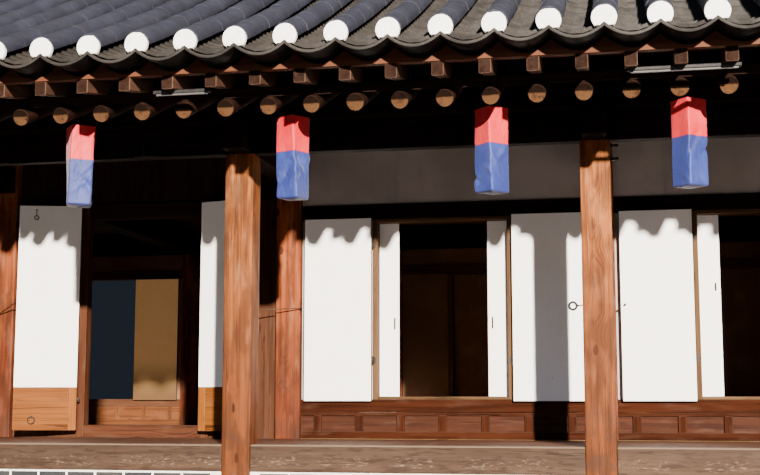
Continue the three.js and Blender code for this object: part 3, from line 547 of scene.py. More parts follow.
RAFTER_PITCH = 0.303
RAFTER_START = 2.664
RAFTER_X = [RAFTER_START + RAFTER_PITCH * k for k in range(-29, 12)]
RAFTER_RADIUS = 0.06
RAFTER_SLOPE = 0.42
RAFTER_TIP = (-4.415, 2.789)
RAFTER_TAIL = -1.675
RAFTER_CUT = 0.34
FLYING_TIP = (-4.735, 2.925)
FLYING_SLOPE = 0.2
FLYING_KNEE = -4.1
FLYING_TAIL = -3.72
FLYING_DEPTH = 0.095
BAR_FRONT = -4.385
BAR_BACK = -4.300
EAVE_HALF = 6.29
eave_wood = timber_material("shaded_eave_pine", (0.078, 0.037, 0.022), (0.033, 0.014, 0.008), 0.2, 0.5)
rafter_wood = timber_material("smoked_rafter_pine", (0.018, 0.008, 0.005), (0.007, 0.003, 0.002), 0.1, 0.5)
board_wood = timber_material("eave_board_pine", (0.024, 0.011, 0.007), (0.009, 0.004, 0.003), 0.2, 0.5)
end_wood = make_end_grain(
    "rafter_end_grain", (0.108, 0.054, 0.025), (0.050, 0.021, 0.009), (RAFTER_START, RAFTER_PITCH, 2.854),
)
flying_end_wood = timber_material(
    "flying_rafter_end", (0.023, 0.0105, 0.0065), (0.010, 0.0045, 0.0028), 0.3, 0.5,
)


def rafter_bottom(y):
    return RAFTER_TIP[1] + RAFTER_SLOPE * (y - RAFTER_TIP[0])


def rafter_top(y):
    return rafter_bottom(y) + 2 * RAFTER_RADIUS * math.hypot(1, RAFTER_SLOPE)


def board_top(y):
    return rafter_top(y) + 0.025 * math.hypot(1, RAFTER_SLOPE)


def flying_bottom(y):
    return FLYING_TIP[1] + FLYING_SLOPE * (y - FLYING_TIP[0])


def mark_ends(piece, direction, index, least=0.9):
    """Faces that look along a direction take the piece's other material."""
    for face in piece.data.polygons:
        if face.normal.dot(Vector(direction)) > least:
            face.material_index = index


rafter_angle = math.atan(RAFTER_SLOPE)
rafter_middle = (RAFTER_TIP[0] + RAFTER_TAIL) / 2
one_rafter = add_primitive(
    bpy.ops.mesh.primitive_cylinder_add, "one_rafter", vertices=20, radius=RAFTER_RADIUS,
    depth=(RAFTER_TAIL - RAFTER_TIP[0]) / math.cos(rafter_angle),
    location=(0, rafter_middle, (rafter_bottom(rafter_middle) + rafter_top(rafter_middle)) / 2),
    rotation=(rafter_angle + math.radians(90), 0, 0),
)
for step in range(1, 8):
    with edit_mode():
        bpy.ops.mesh.bisect(plane_co=(0, RAFTER_TIP[0] + RAFTER_CUT * step, 0), plane_no=(0, 1, 0))
ease_edges(one_rafter, 0.004, 1)
one_rafter.data.materials.append(rafter_wood)
one_rafter.data.materials.append(end_wood)
mark_ends(one_rafter, (0, -math.cos(rafter_angle), -math.sin(rafter_angle)), 1)
mark_board(one_rafter, (0, math.cos(rafter_angle), math.sin(rafter_angle)))
round_rafters = join_pieces(
    "round_rafters", [
        number_board(copy_to(one_rafter, f"rafter_{i}", (x, 0, 0))) for i, x in enumerate(RAFTER_X)
    ],
)
bpy.data.objects.remove(one_rafter)
roughen(round_rafters, 0.3, 0.009)
smooth(40)
finish_piece(round_rafters, None, "dark_timber", "front_rafters")

one_flying = add_profile("flying_rafter", [
    FLYING_TIP,
    (RAFTER_TIP[0], flying_bottom(RAFTER_TIP[0])),
    (FLYING_TAIL, board_top(FLYING_TAIL) - 0.008),
    (FLYING_TAIL, board_top(FLYING_TAIL) + 0.02),
    (FLYING_KNEE, flying_bottom(FLYING_KNEE) + FLYING_DEPTH),
    (FLYING_TIP[0], FLYING_TIP[1] + FLYING_DEPTH),
], -0.04, 0.04)
ease_edges(one_flying, 0.005, 1)
one_flying.data.materials.append(eave_wood)
one_flying.data.materials.append(flying_end_wood)
mark_ends(one_flying, (0, -1, 0), 1)
mark_board(one_flying, (0, 1, 0))
flying_rafters = join_pieces(
    "flying_rafters", [
        number_board(copy_to(one_flying, f"flying_{i}", (x, 0, 0))) for i, x in enumerate(RAFTER_X)
    ],
)
bpy.data.objects.remove(one_flying)
finish_piece(flying_rafters, None, "dark_timber", "front_rafters")

lower_bar = add_profile("lower_eave_bar", [
    (BAR_FRONT, rafter_top(BAR_FRONT) - 0.004),
    (BAR_BACK, rafter_top(BAR_BACK) - 0.004),
    (BAR_BACK, flying_bottom(BAR_BACK) + 0.002),
    (BAR_FRONT, flying_bottom(BAR_FRONT) + 0.002),
], -EAVE_HALF, EAVE_HALF)
ease_edges(lower_bar, 0.004, 1)
PLANKS = 12
plank_step = (RAFTER_TAIL - BAR_BACK) / PLANKS
planks = []
for i in range(PLANKS):
    near = BAR_BACK + plank_step * i + (0.002 if i else -0.01)
    far = near + plank_step - 0.004
    planks.append(add_profile(f"plank_{i}", [
        (near, rafter_top(near) - 0.003),
        (far, rafter_top(far) - 0.003),
        (far, board_top(far) - 0.001),
        (near, board_top(near) - 0.001),
    ], -EAVE_HALF, EAVE_HALF))
upper_boards = add_profile("upper_boards", [
    (FLYING_TIP[0], flying_bottom(FLYING_TIP[0]) + FLYING_DEPTH - 0.001),
    (FLYING_KNEE, flying_bottom(FLYING_KNEE) + FLYING_DEPTH - 0.001),
    (FLYING_TAIL, board_top(FLYING_TAIL) + 0.001),
    (FLYING_TAIL, board_top(FLYING_TAIL) + 0.018),
    (FLYING_KNEE, flying_bottom(FLYING_KNEE) + 0.113),
    (FLYING_TIP[0], flying_bottom(FLYING_TIP[0]) + 0.113),
], -EAVE_HALF, EAVE_HALF)
eave_boards = join_pieces(
    "eave_boards", [mark_board(board) for board in (lower_bar, upper_boards, *planks)],
)
finish_piece(eave_boards, board_wood, "dark_timber", "front_rafters")

# The scalloped board on the tips of the flying rafters: pine cut in waves to fit under the tiles.
# Its saw cuts stay rough; along its lower edge the reddish face is painted paler, as painted light where
# the sun reaches in under the tiles.
TILE_PITCH = 0.333
ROW_X = [2.811 + TILE_PITCH * k for k in range(-27, 11)]
SCALLOP = (3.038, 0.085)


def paint_light_on_lower_edge(tree, place, colour):
    """Painted light: a band along the lower edge is painted paler, for the sun that reaches in under the
    tiles.
    """
    height = split(tree, place)["Z"]
    height = plus(tree, height, times(tree, noise(tree, place, 12, 4), 0.010))
    return stain(tree, colour, fade(tree, height, 3.068, 3.048), 0.88, (0.095, 0.033, 0.0140))


# The face's deep red-brown is partly the wood's own colour and partly painted shade under the tiles.
board_red = timber_material(
    "scalloped_board_pine", (0.075, 0.021, 0.010), (0.050, 0.013, 0.006), 0.15, 0.5,
    weather_and_light=paint_light_on_lower_edge,
)


def trough_rise(x):
    """How far a tile's hollow has risen at x: 0 in the middle of a tile, 1 under the round rows."""
    across = (x - ROW_X[0] - TILE_PITCH / 2) / TILE_PITCH
    return (2 * (across - round(across))) ** 2


scallop_xs = [-EAVE_HALF]
x = ROW_X[0] - TILE_PITCH / 2
while x < EAVE_HALF - 0.01:
    if x > -EAVE_HALF + 0.01:
        scallop_xs.append(x)
    x += TILE_PITCH / 10
scallop_xs.append(EAVE_HALF)
scalloped_board = add_profile("scalloped_board", [
    (-EAVE_HALF, 3.020),
    (EAVE_HALF, 3.020),
    *((x, SCALLOP[0] + SCALLOP[1] * trough_rise(x)) for x in reversed(scallop_xs)),
], -4.745, -4.690, "Y")
finish_piece(mark_board(scalloped_board), board_red, "dark_timber", "front_rafters")
for piece in (round_rafters, flying_rafters, eave_boards, scalloped_board):
    rear_twin(piece, f"rear_{piece.name}", "dark_timber", "rear_rafters")


# Roof: fired grey clay tiles in a bed of earth. Broad hollow tiles overlap by two thirds in columns,
# and round tiles cover the joints between the columns. White lime plugs close the rows at the eave.
EAVE_Y = -5.005
EAVE_CROWN = 3.254
ROOF_SLOPE = 0.43
ROOF_CURVE = 0.0232
EAVE_ACROSS = 12
ROW_RADIUS = 0.083
TILE_LENGTH = 0.31
TILE_STEP = 0.272
PLUG_RADIUS = 0.077
PLUG_DEPTH = 0.03
ACROSS = 5


def crown(y):
    """Top of the round rows."""
    run = y - EAVE_Y
    return EAVE_CROWN + ROOF_SLOPE * run + ROOF_CURVE * run * run


def crown_angle(y):
    return math.atan(ROOF_SLOPE + 2 * ROOF_CURVE * (y - EAVE_Y))


def repeat_across(piece, count):
    """Copies of a column of tiles, one tile's width apart."""
    apply_modifier(
        piece, "ARRAY", count=count, use_relative_offset=False, use_constant_offset=True,
        constant_offset_displace=(TILE_PITCH, 0, 0),
    )


def make_tile_material(name, pale, dark, seed, column_start, specular=0.35):
    """Fired clay: each tile has its own tone, with rain streaks, dust and pale lichen."""
    material, tree, shader, place = new_material(name, 0.62, specular)
    parts = split(tree, place)
    column = reckon(
        tree, "FLOOR", reckon(tree, "DIVIDE", minus(tree, parts["X"], column_start), TILE_PITCH),
    )
    course = reckon(tree, "FLOOR", reckon(tree, "DIVIDE", parts["Y"], 0.243))
    cell = add_node(tree, "ShaderNodeCombineXYZ", {"X": column, "Y": course, "Z": seed}).outputs[0]
    tone = add_node(tree, "ShaderNodeTexWhiteNoise", {"Vector": cell}).outputs["Value"]
    colour = mix(tree, tone, dark, pale)
    streaks = fade(tree, noise(tree, place, 22, 5, (1, 0.14, 1)), 0.38, 0.72)
    colour = stain(tree, colour, streaks, 0.35, scaled(pale, 1.5))
    # Soot: dark patches on the clay.
    soot_and_shadow = fade(tree, noise(tree, place, 5, 5), 0.45, 0.68)
    colour = stain(tree, colour, soot_and_shadow, 0.5, scaled(dark, 0.55))
    rust = fade(tree, noise(tree, place, 9, 4), 0.56, 0.72)
    colour = stain(tree, colour, rust, 0.4, (1.1 * pale[0], 0.85 * pale[1], 0.6 * pale[2]))
    lichen = fade(tree, noise(tree, place, 60, 3), 0.70, 0.74)
    colour = stain(tree, colour, lichen, 0.6, scaled(pale, 2.4))
    paint(tree, shader, colour)
    tree.links.new(plus(tree, times(tree, soot_and_shadow, 0.2), 0.52), shader.inputs["Roughness"])
    grit = plus(tree, noise(tree, place, 240, 3), times(tree, streaks, 0.7))
    add_bump(tree, shader, grit, 0.0016)
    return material


round_clay = make_tile_material(
    "round_tile_clay", (0.027, 0.029, 0.044), (0.018, 0.0195, 0.031), 1.0, ROW_X[0] - 0.1665,
)
broad_clay = make_tile_material(
    "broad_tile_clay", (0.024, 0.020, 0.017), (0.013, 0.011, 0.009), 4.0, ROW_X[0], 0.2,
)
# The undersides of the eave tiles are sooty, and painted nearly black beyond that as painted shade under
# the eaves.
sooty_shaded_clay = make_tile_material(
    "sooty_tile_underside", (0.006, 0.0052, 0.0047), (0.003, 0.0026, 0.0023), 6.0, ROW_X[0], 0.05,
)

one_tile = add_primitive(
    bpy.ops.mesh.primitive_cylinder_add, "one_tile", vertices=16, radius=ROW_RADIUS, depth=TILE_LENGTH,
    end_fill_type="NOTHING", location=(0, TILE_LENGTH / 2, 0), rotation=LYING_ALONG_Y,
)
with edit_mode():
    bpy.ops.mesh.bisect(plane_co=(0, 0, -0.012), plane_no=(0, 0, 1), clear_inner=True)
for vertex in one_tile.data.vertices:
    if vertex.co.y > 0.2:
        vertex.co.x *= 0.975
        vertex.co.z = vertex.co.z * 0.975 - 0.001
apply_modifier(one_tile, "SOLIDIFY", thickness=0.015, offset=-1)
smooth(50)
tile_points = len(one_tile.data.vertices)
row_tiles = []
y = -4.962
while y < -0.20:
    angle = crown_angle(y + 0.12)
    tile = one_tile.copy()
    tile.data = one_tile.data.copy()
    lie = Matrix.Rotation(angle, 4, "X")
    tile.data.transform(Matrix.Translation((0, y, crown(y) - ROW_RADIUS / math.cos(angle))) @ lie)
    bpy.context.scene.collection.objects.link(tile)
    row_tiles.append(tile)
    y += TILE_STEP * math.cos(angle)
bpy.data.objects.remove(one_tile)
round_tiles = join_pieces("round_tile_rows", row_tiles)
round_tiles.data.transform(Matrix.Translation((ROW_X[0], 0, 0)))
repeat_across(round_tiles, len(ROW_X))
chance = random.Random(7)
for start in range(0, len(round_tiles.data.vertices), tile_points):
    slip = Vector(
        (chance.uniform(-0.003, 0.003), chance.uniform(-0.003, 0.003), chance.uniform(-0.003, 0.0))
    )
    for vertex in round_tiles.data.vertices[start:start + tile_points]:
        vertex.co += slip
finish_piece(round_tiles, round_clay, "roof_tile", "front_roof")

course_ys = [-4.955]
while course_ys[-1] < -0.24:
    course_ys.append(course_ys[-1] + 0.093 * math.cos(crown_angle(course_ys[-1])))
course_ys[-1] = -0.14
broad_tiles = add_primitive(
    bpy.ops.mesh.primitive_grid_add, "broad_tile_courses", x_subdivisions=ACROSS,
    y_subdivisions=2 * len(course_ys) - 3, size=1,
)
for index, vertex in enumerate(broad_tiles.data.vertices):
    step, column = divmod(index, ACROSS + 1)
    across = column / ACROSS - 0.5
    y = course_ys[(step + 1) // 2]
    rise = crown(y) - 0.189 + 0.073 * (2 * across) ** 2 + (0.019 if step % 2 == 0 else 0.0)
    vertex.co = (ROW_X[0] + TILE_PITCH * (0.5 + across), y - (0.003 if step % 2 == 0 else 0), rise)
apply_modifier(broad_tiles, "SOLIDIFY", thickness=0.022, offset=-1)
repeat_across(broad_tiles, len(ROW_X) - 1)
finish_piece(broad_tiles, broad_clay, "roof_tile", "front_roof")

eave_tiles = add_primitive(
    bpy.ops.mesh.primitive_grid_add, "eave_tiles", x_subdivisions=EAVE_ACROSS, y_subdivisions=1, size=1,
)
for index, vertex in enumerate(eave_tiles.data.vertices):
    step, column = divmod(index, EAVE_ACROSS + 1)
    across = column / EAVE_ACROSS - 0.5
    place_x = ROW_X[0] + TILE_PITCH * (0.5 + 0.994 * across)
    vertex.co = (place_x, -4.998 + 0.33 * step, 3.067 + 0.074 * (2 * across) ** 2 + 0.02 * step)
apply_modifier(eave_tiles, "SOLIDIFY", thickness=0.021, offset=-1)
ease_edges(eave_tiles, 0.004, 2)
eave_tiles.data.materials.append(broad_clay)
eave_tiles.data.materials.append(sooty_shaded_clay)
# Faces that look down take the nearly black underside clay: painted shade.
mark_ends(eave_tiles, (0, 0, -1), 1, 0.55)
repeat_across(eave_tiles, len(ROW_X) - 1)
smooth(40)
finish_piece(eave_tiles, None, "roof_tile", "front_roof")

lime, tree, shader, place = new_material("white_lime_plug", 0.85, 0.3)
patches = fade(tree, noise(tree, place, 18, 4), 0.48, 0.70)
tone = stain(tree, (0.93, 0.91, 0.88), patches, 0.35, (0.66, 0.62, 0.56))
paint(tree, shader, tone)
add_bump(tree, shader, noise(tree, place, 90, 4), 0.004)
one_plug = add_primitive(
    bpy.ops.mesh.primitive_cylinder_add, "one_plug", vertices=28, radius=PLUG_RADIUS, depth=PLUG_DEPTH,
    location=(0, PLUG_DEPTH / 2, 0), rotation=LYING_ALONG_Y,
)
with edit_mode():
    bpy.ops.mesh.bisect(plane_co=(0, 0, -0.049), plane_no=(0, 0, 1), clear_inner=True, use_fill=True)
    bpy.ops.mesh.select_all(action="SELECT")
    bpy.ops.mesh.inset(thickness=0.010, use_individual=True, depth=0.0)
for vertex in one_plug.data.vertices:
    if vertex.co.y < 0.001:
        vertex.co.y = -0.004 + 0.9 * (vertex.co.x ** 2 + vertex.co.z ** 2)
ease_edges(one_plug, 0.005, 2)
plugs = join_pieces("lime_plugs", [
    copy_to(one_plug, f"plug_{i}", (x, -4.991, 3.171)) for i, x in enumerate(ROW_X)
])
bpy.data.objects.remove(one_plug)
roughen(plugs, 0.05, 0.005)
smooth(50)
finish_piece(plugs, lime, "roof_tile", "front_roof")


def crown_points(near, far, lift, count=16):
    points = []
    for i in range(count + 1):
        y = near + (far - near) * i / count
        points.append((y, crown(y) + lift))
    return points


earth, tree, shader, place = new_material("roof_earth", 0.95, 0.2)
paint(tree, shader, mix(tree, noise(tree, place, 12, 6), (0.10, 0.075, 0.055), (0.17, 0.135, 0.10)))
add_bump(tree, shader, noise(tree, place, 60, 5), 0.006)
BED_END = 6.299
short_bottom = rafter_bottom(RAFTER_TAIL)
bed = add_profile("earth_bed", [
    (-4.70, 3.045),
    (-4.62, flying_bottom(-4.62) + 0.115),
    (FLYING_KNEE, flying_bottom(FLYING_KNEE) + 0.115),
    (FLYING_TAIL, board_top(FLYING_TAIL) + 0.02),
    (RAFTER_TAIL + 0.03, board_top(RAFTER_TAIL + 0.03) + 0.002),
    (RAFTER_TAIL + 0.03, short_bottom + 0.75 * 0.03),
    (-0.001, short_bottom + 0.75 * -RAFTER_TAIL),
    (-0.001, 5.893),
    (-0.139, 5.893),
    *crown_points(-0.141, -4.70, -0.215),
], -BED_END, BED_END)
finish_piece(bed, earth, "roof_tile", "front_roof")

# Gable edges and ridges: flat courses of tile laid in lime, under one row of round tiles.
# The main ridge is the same on a larger scale, and hides the upper ends of both slopes.
ridge_clay = make_tile_material("ridge_tile_clay", (0.034, 0.035, 0.044), (0.020, 0.021, 0.028), 9.0, 0.0)
lime_bed = lime.copy()
lime_bed.name = "lime_joint"
END_RIDGE_X = 6.26
edge_layers = []
for side in (-1, 1):
    for low, high, inner, outer in (
        (-0.230, -0.165, 6.25, 6.372), (-0.160, -0.115, 6.25, 6.388), (-0.110, -0.065, 6.24, 6.376),
    ):
        edge_layers.append(add_profile("edge_course", [
            *crown_points(-4.97, -0.14, high), *crown_points(-0.14, -4.97, low),
        ], *sorted((side * inner, side * outer))))
    for low, high, half in ((-0.060, -0.012, 0.128), (-0.008, 0.030, 0.118), (0.034, 0.070, 0.126)):
        edge_layers.append(add_profile("end_ridge_course", [
            *crown_points(-4.58, -0.145, high), *crown_points(-0.145, -4.58, low),
        ], side * END_RIDGE_X - half, side * END_RIDGE_X + half))
gable_courses = join_pieces("gable_edge_courses", edge_layers)
ease_edges(gable_courses, 0.006, 1)
finish_piece(gable_courses, ridge_clay, "roof_tile", "front_roof")
joints = []
for side in (-1, 1):
    joints.append(add_profile("edge_joint", [
        *crown_points(-4.57, -0.146, 0.06), *crown_points(-0.146, -4.57, -0.20),
    ], side * END_RIDGE_X - 0.108, side * END_RIDGE_X + 0.108))
gable_joints = join_pieces("gable_edge_joints", joints)
finish_piece(gable_joints, lime_bed, "roof_tile", "front_roof")


def add_round_tile(name, length, radius):
    """One round tile lying along Y from its front end at the origin."""
    tile = add_primitive(
        bpy.ops.mesh.primitive_cylinder_add, name, vertices=16, radius=radius, depth=length,
        location=(0, length / 2, 0), rotation=LYING_ALONG_Y,
    )
    with edit_mode():
        bpy.ops.mesh.bisect(plane_co=(0, 0, -0.01), plane_no=(0, 0, 1), clear_inner=True, use_fill=True)
    for vertex in tile.data.vertices:
        if vertex.co.y > length / 2:
            vertex.co.x *= 0.92
            vertex.co.z *= 0.92
    smooth(50)
    return tile


CAP_RADIUS = 0.079
CAP_LIFT = 0.146
one_cap = add_round_tile("ridge_cap", TILE_LENGTH, CAP_RADIUS)
caps = []
for side in (-1, 1):
    y = -4.575
    while y < -0.40:
        angle = crown_angle(y + 0.1)
        cap = one_cap.copy()
        cap.data = one_cap.data.copy()
        lie = Matrix.Rotation(angle, 4, "X")
        foot = (side * END_RIDGE_X, y, crown(y) + CAP_LIFT - CAP_RADIUS / math.cos(angle))
        cap.data.transform(Matrix.Translation(foot) @ lie)
        bpy.context.scene.collection.objects.link(cap)
        caps.append(cap)
        y += TILE_STEP * math.cos(angle)
gable_caps = join_pieces("gable_ridge_caps", caps)
finish_piece(gable_caps, ridge_clay, "roof_tile", "front_roof")
for piece in (round_tiles, broad_tiles, eave_tiles, plugs, bed, gable_courses, gable_joints, gable_caps):
    rear_twin(piece, f"rear_{piece.name}", "roof_tile", "rear_roof")

RIDGE_END = 6.388
RIDGE_HALF = 0.139
RIDGE_FOOT = 5.897
RIDGE_STEP = 0.056
COURSE_THICK = 0.048
ridge_courses = []
for i in range(6):
    bottom = RIDGE_FOOT + RIDGE_STEP * i
    course = add_block(
        "ridge_course", (-RIDGE_END, -RIDGE_HALF, bottom), (RIDGE_END, RIDGE_HALF, bottom + COURSE_THICK),
    )
    ridge_courses.append(course)
    if i % 2:
        course.data.transform(Matrix.Diagonal((0.998, 0.92, 1, 1)))
ridge_stack = join_pieces("main_ridge_courses", ridge_courses)
ease_edges(ridge_stack, 0.008, 2)
finish_piece(ridge_stack, ridge_clay, "roof_tile", "main_ridge")
ridge_joint = add_block("main_ridge_joint", (-6.36, -0.118, 5.896), (6.36, 0.118, 6.255))
ease_edges(ridge_joint, 0.006, 1)
finish_piece(ridge_joint, lime_bed, "roof_tile", "main_ridge")
one_cap.data.transform(Matrix.Scale(1.55, 4) @ Matrix.Rotation(math.radians(-90), 4, "Z"))
ridge_caps = []
for i in range(29):
    ridge_caps.append(copy_to(one_cap, "cap", (-6.385 + 0.4389 * i, 0, 6.262)))
bpy.data.objects.remove(one_cap)
main_caps = join_pieces("main_ridge_caps", ridge_caps)
finish_piece(main_caps, ridge_clay, "roof_tile", "main_ridge")


# Beams and purlins: squared pine laid on the pillars, nearly black with age and lamp smoke, and painted
# darker still as painted shade for the shadow of the eaves.
# A cross beam passes through its inner pillar, and its head holds the eave purlin on the front pillar.
BEAM_Z = 2.76
PURLIN_END = 6.299
UNDER_TOP = 3.0
MAIN_TOP = 3.06
# Near-black pine: age and smoke, and painted shade for the eaves' shadow; the window lintels take it too.
smoked_shaded_pine = timber_material(
    "smoked_beam_pine", (0.011, 0.0055, 0.004), (0.004, 0.002, 0.0015), 0.12, 0.35,
)


def add_timber(name, low, high, edge=0.008, material=None):
    """A squared timber with eased edges. Its two corners may come in either order."""
    piece = add_block(name, low, high)
    ease_edges(piece, edge, 2)
    if material is not None:
        piece.data.materials.append(material)
    return mark_board(piece)


for i, x in enumerate(PILLAR_X):
    beam = join_pieces(f"cross_beam_timber_{i + 1}", [
        add_timber(
            "toe", (x - 0.089, FRONT_Y - 0.299, BEAM_Z), (x + 0.089, INNER_Y - 0.112, UNDER_TOP - 0.001),
            0.012,
        ),
        add_timber(
            "tenon", (x - 0.029, INNER_Y - 0.13, BEAM_Z + 0.002),
            (x + 0.029, INNER_Y + 0.13, UNDER_TOP - 0.003),
        ),
        add_timber(
            "body", (x - 0.119, INNER_Y + 0.112, BEAM_Z), (x + 0.119, REAR_Y - 0.092, MAIN_TOP - 0.001),
            0.012,
        ),
        add_timber(
            "tail", (x - 0.118, REAR_Y - 0.15, BEAM_Z + 0.001),
            (x + 0.118, REAR_Y + 0.299, UNDER_TOP - 0.001), 0.012,
        ),
    ])
    finish_piece(beam, smoked_shaded_pine, "dark_timber", f"cross_beam_{i + 1}")

for name, y, beam_half in (("front", FRONT_Y, 0.09), ("rear", REAR_Y, 0.12)):
    timbers = [
        add_timber(
            "purlin", (-PURLIN_END, y - 0.089, UNDER_TOP + 0.001), (PURLIN_END, y + 0.089, 3.2500), 0.014,
        ),
    ]
    lefts = [-6.21, *(x + beam_half + 0.001 for x in PILLAR_X)]
    rights = [*(x - beam_half - 0.001 for x in PILLAR_X), 6.21]
    for left, right in zip(lefts, rights):
        timbers.append(
            add_timber("bearer", (left, y - 0.054, BEAM_Z + 0.001), (right, y + 0.054, UNDER_TOP + 0.004))
        )
    purlin = join_pieces(f"{name}_purlin_timbers", timbers)
    finish_piece(purlin, smoked_shaded_pine, "dark_timber", f"{name}_purlin")
mid_purlin = add_timber(
    "mid_purlin_timber", (-PURLIN_END, INNER_Y - 0.089, 3.630), (PURLIN_END, INNER_Y + 0.089, 3.859), 0.014,
)
finish_piece(mid_purlin, smoked_shaded_pine, "dark_timber", "mid_purlin")


# Gable walls over the end cross beams: clay plaster on split bamboo, limed and dulled by rain.
# A king post, a queen post and a rail divide each wall and carry the ridge purlin and a mid purlin.
def make_plaster(name, pale, dark, lining=None):
    """Limed clay plaster. A lining is the brown paper pasted over it on the inside of the house."""
    material, tree, shader, place = new_material(name, 0.92, 0.2)
    clouds = fade(tree, noise(tree, place, 1.4, 6), 0.35, 0.70)
    colour = mix(tree, clouds, pale, dark)
    runs = fade(tree, noise(tree, place, 7, 5, (1, 1, 0.16)), 0.55, 0.75)
    colour = stain(tree, colour, runs, 0.35, scaled(dark, 0.55))
    flaws = fade(tree, noise(tree, place, 42, 3), 0.70, 0.76)
    colour = stain(tree, colour, flaws, 0.5, scaled(pale, 1.25))
    if lining is not None:
        parts = split(tree, place)
        beyond = fade(tree, reckon(tree, "ABSOLUTE", parts["X"]), 5.39, 5.41)
        outside = reckon(tree, "MAXIMUM", beyond, fade(tree, parts["Y"], 3.215, 3.235))
        papered = mix(tree, clouds, lining, scaled(lining, 0.6))
        colour = mix(tree, outside, papered, colour)
    paint(tree, shader, colour)
    trowel = noise(tree, place, 6, 4, (1, 1, 0.35), 0.6)
    sand = noise(tree, place, 300, 3)
    cracks = fade(tree, noise(tree, place, 11, 6, (1, 1, 1), 2.5), 0.502, 0.498)
    heights = plus(tree, times(tree, trowel, 2.0), times(tree, sand, 0.35))
    add_bump(tree, shader, plus(tree, heights, times(tree, cracks, 0.05)), 0.004)
    return material


smoked_plaster = make_plaster("smoked_wall_plaster", (0.45, 0.385, 0.355), (0.33, 0.28, 0.255))
outer_plaster = make_plaster(
    "limed_outer_plaster", (0.46, 0.42, 0.37), (0.33, 0.295, 0.26), (0.24, 0.13, 0.075),
)
# Dark wall timber: smoke, and painted shade; the door heads and the upper hall planks take it because they
# stand in the eaves' shadow.
smoked_shaded_post = timber_material(
    "smoked_wall_post", (0.032, 0.0150, 0.0095), (0.012, 0.0055, 0.0036), 0.15, 0.4,
)
gable_outline = [
    (-1.665, MAIN_TOP), (3.135, MAIN_TOP), (3.135, 3.324), (1.645, 3.950), (0.0, 5.193),
    (-1.645, 3.959), (-1.645, 3.630), (-1.665, 3.630),
]
gable_panels = []
gable_posts = []
for x in (PILLAR_X[0], PILLAR_X[4]):
    gable_panels.append(add_profile("gable_panel", gable_outline, x - 0.040, x + 0.040))
    for low_y, high_y, low_z, high_z in (
        (-0.08, 0.08, MAIN_TOP, 4.90), (1.70, 1.85, MAIN_TOP, 3.63), (-1.64, 1.70, 3.40, 3.56),
    ):
        gable_posts.append(
            add_timber("gable_post", (x - 0.049, low_y, low_z), (x + 0.049, high_y, high_z), 0.006)
        )
gable_walls = join_pieces("gable_panels", gable_panels)
finish_piece(gable_walls, outer_plaster, "plaster", "roof_frame")
finish_joined("gable_posts", gable_posts, smoked_shaded_post, "dark_timber")
high_purlins = join_pieces("high_purlins", [
    add_timber("ridge_purlin", (-PURLIN_END, -0.089, 4.899), (PURLIN_END, 0.089, 5.127), 0.014),
    add_timber("rear_mid_purlin", (-PURLIN_END, 1.686, 3.630), (PURLIN_END, 1.864, 3.858), 0.014),
])
finish_piece(high_purlins, smoked_shaded_pine, "dark_timber")

# Gable boards: wide pine boards nailed over the purlin ends under the edge tiles.
# Rain has silvered them.
gable_wood = timber_material("weathered_gable_board", (0.11, 0.062, 0.040), (0.045, 0.024, 0.015), 0.5, 0.6)
roof_line = crown_points(-4.805, -0.14, -0.243)
lower_line = [
    (RAFTER_TAIL, rafter_bottom(RAFTER_TAIL) + 0.04),
    (RAFTER_TIP[0], RAFTER_TIP[1] + 0.04),
    (-4.805, RAFTER_TIP[1] + 0.10),
]
board_outline = [
    *roof_line, *((-y, z) for y, z in reversed(roof_line)), *((-y, z) for y, z in reversed(lower_line)),
    (0.0, short_bottom - 0.75 * RAFTER_TAIL + 0.04), *lower_line,
]
for name, low_x, high_x in (("left", -6.349, -6.3005), ("right", 6.3005, 6.349)):
    board = add_profile(f"{name}_gable_planks", board_outline, low_x, high_x)
    ease_edges(board, 0.006, 1)
    mark_board(board)
    finish_piece(board, gable_wood, "dark_timber", f"{name}_gable_board")


# Ceiling: wide pine boards laid on the cross beams, planed below and left dull.
# Boards of one surface lie side by side with a thin open joint.
def add_planks(name, low, high, count, across, edge=0.004, gap=0.003, material=None):
    """Boards side by side across one axis, 0 for X, 1 for Y or 2 for Z."""
    width = (high[across] - low[across]) / count
    end = list(high)
    end[across] = low[across] + width - gap
    planks = [add_timber("plank", low, end, edge, material)]
    for index in range(1, count):
        shift = [width * index if axis == across else 0 for axis in range(3)]
        planks.append(number_board(copy_to(planks[0], "plank", shift)))
    boards = join_pieces(name, planks)
    boards.data.transform(Matrix.Translation([gap / 2 if axis == across else 0 for axis in range(3)]))
    return boards


ceiling_wood = timber_material("dull_ceiling_board", (0.13, 0.062, 0.033), (0.05, 0.021, 0.011), 0.3, 0.6)
ceiling = add_planks(
    "ceiling_boards", (-5.348, INNER_Y + 0.112, MAIN_TOP), (5.348, 3.134, MAIN_TOP + 0.029), 44, 0,
)
finish_piece(ceiling, ceiling_wood, "timber", "ceiling")


# Masonry: grey fired bricks in lime mortar between pillar stones of dressed granite.
# The bricks are laid in running bond, each a little out of line, with joints struck flush and whitened.
def make_stone(name, pale, dark, speck, grain):
    """Granite or fired brick: its own tone for each block, with grain, specks and damp below."""
    material, tree, shader, place = new_material(name, 0.88, 0.3)
    own = add_node(tree, "ShaderNodeAttribute", attribute_name="board").outputs["Fac"]
    colour = mix(tree, own, dark, pale)
    patches = fade(tree, noise(tree, place, 9, 5), 0.45, 0.70)
    colour = stain(tree, colour, patches, 0.45, dark)
    specks = fade(tree, noise(tree, place, grain, 2), 0.58, 0.66)
    colour = stain(tree, colour, specks, 0.6, speck)
    paint(tree, shader, colour)
    relief = plus(tree, noise(tree, place, 70, 5), times(tree, patches, 0.5))
    add_bump(tree, shader, relief, 0.004)
    return material


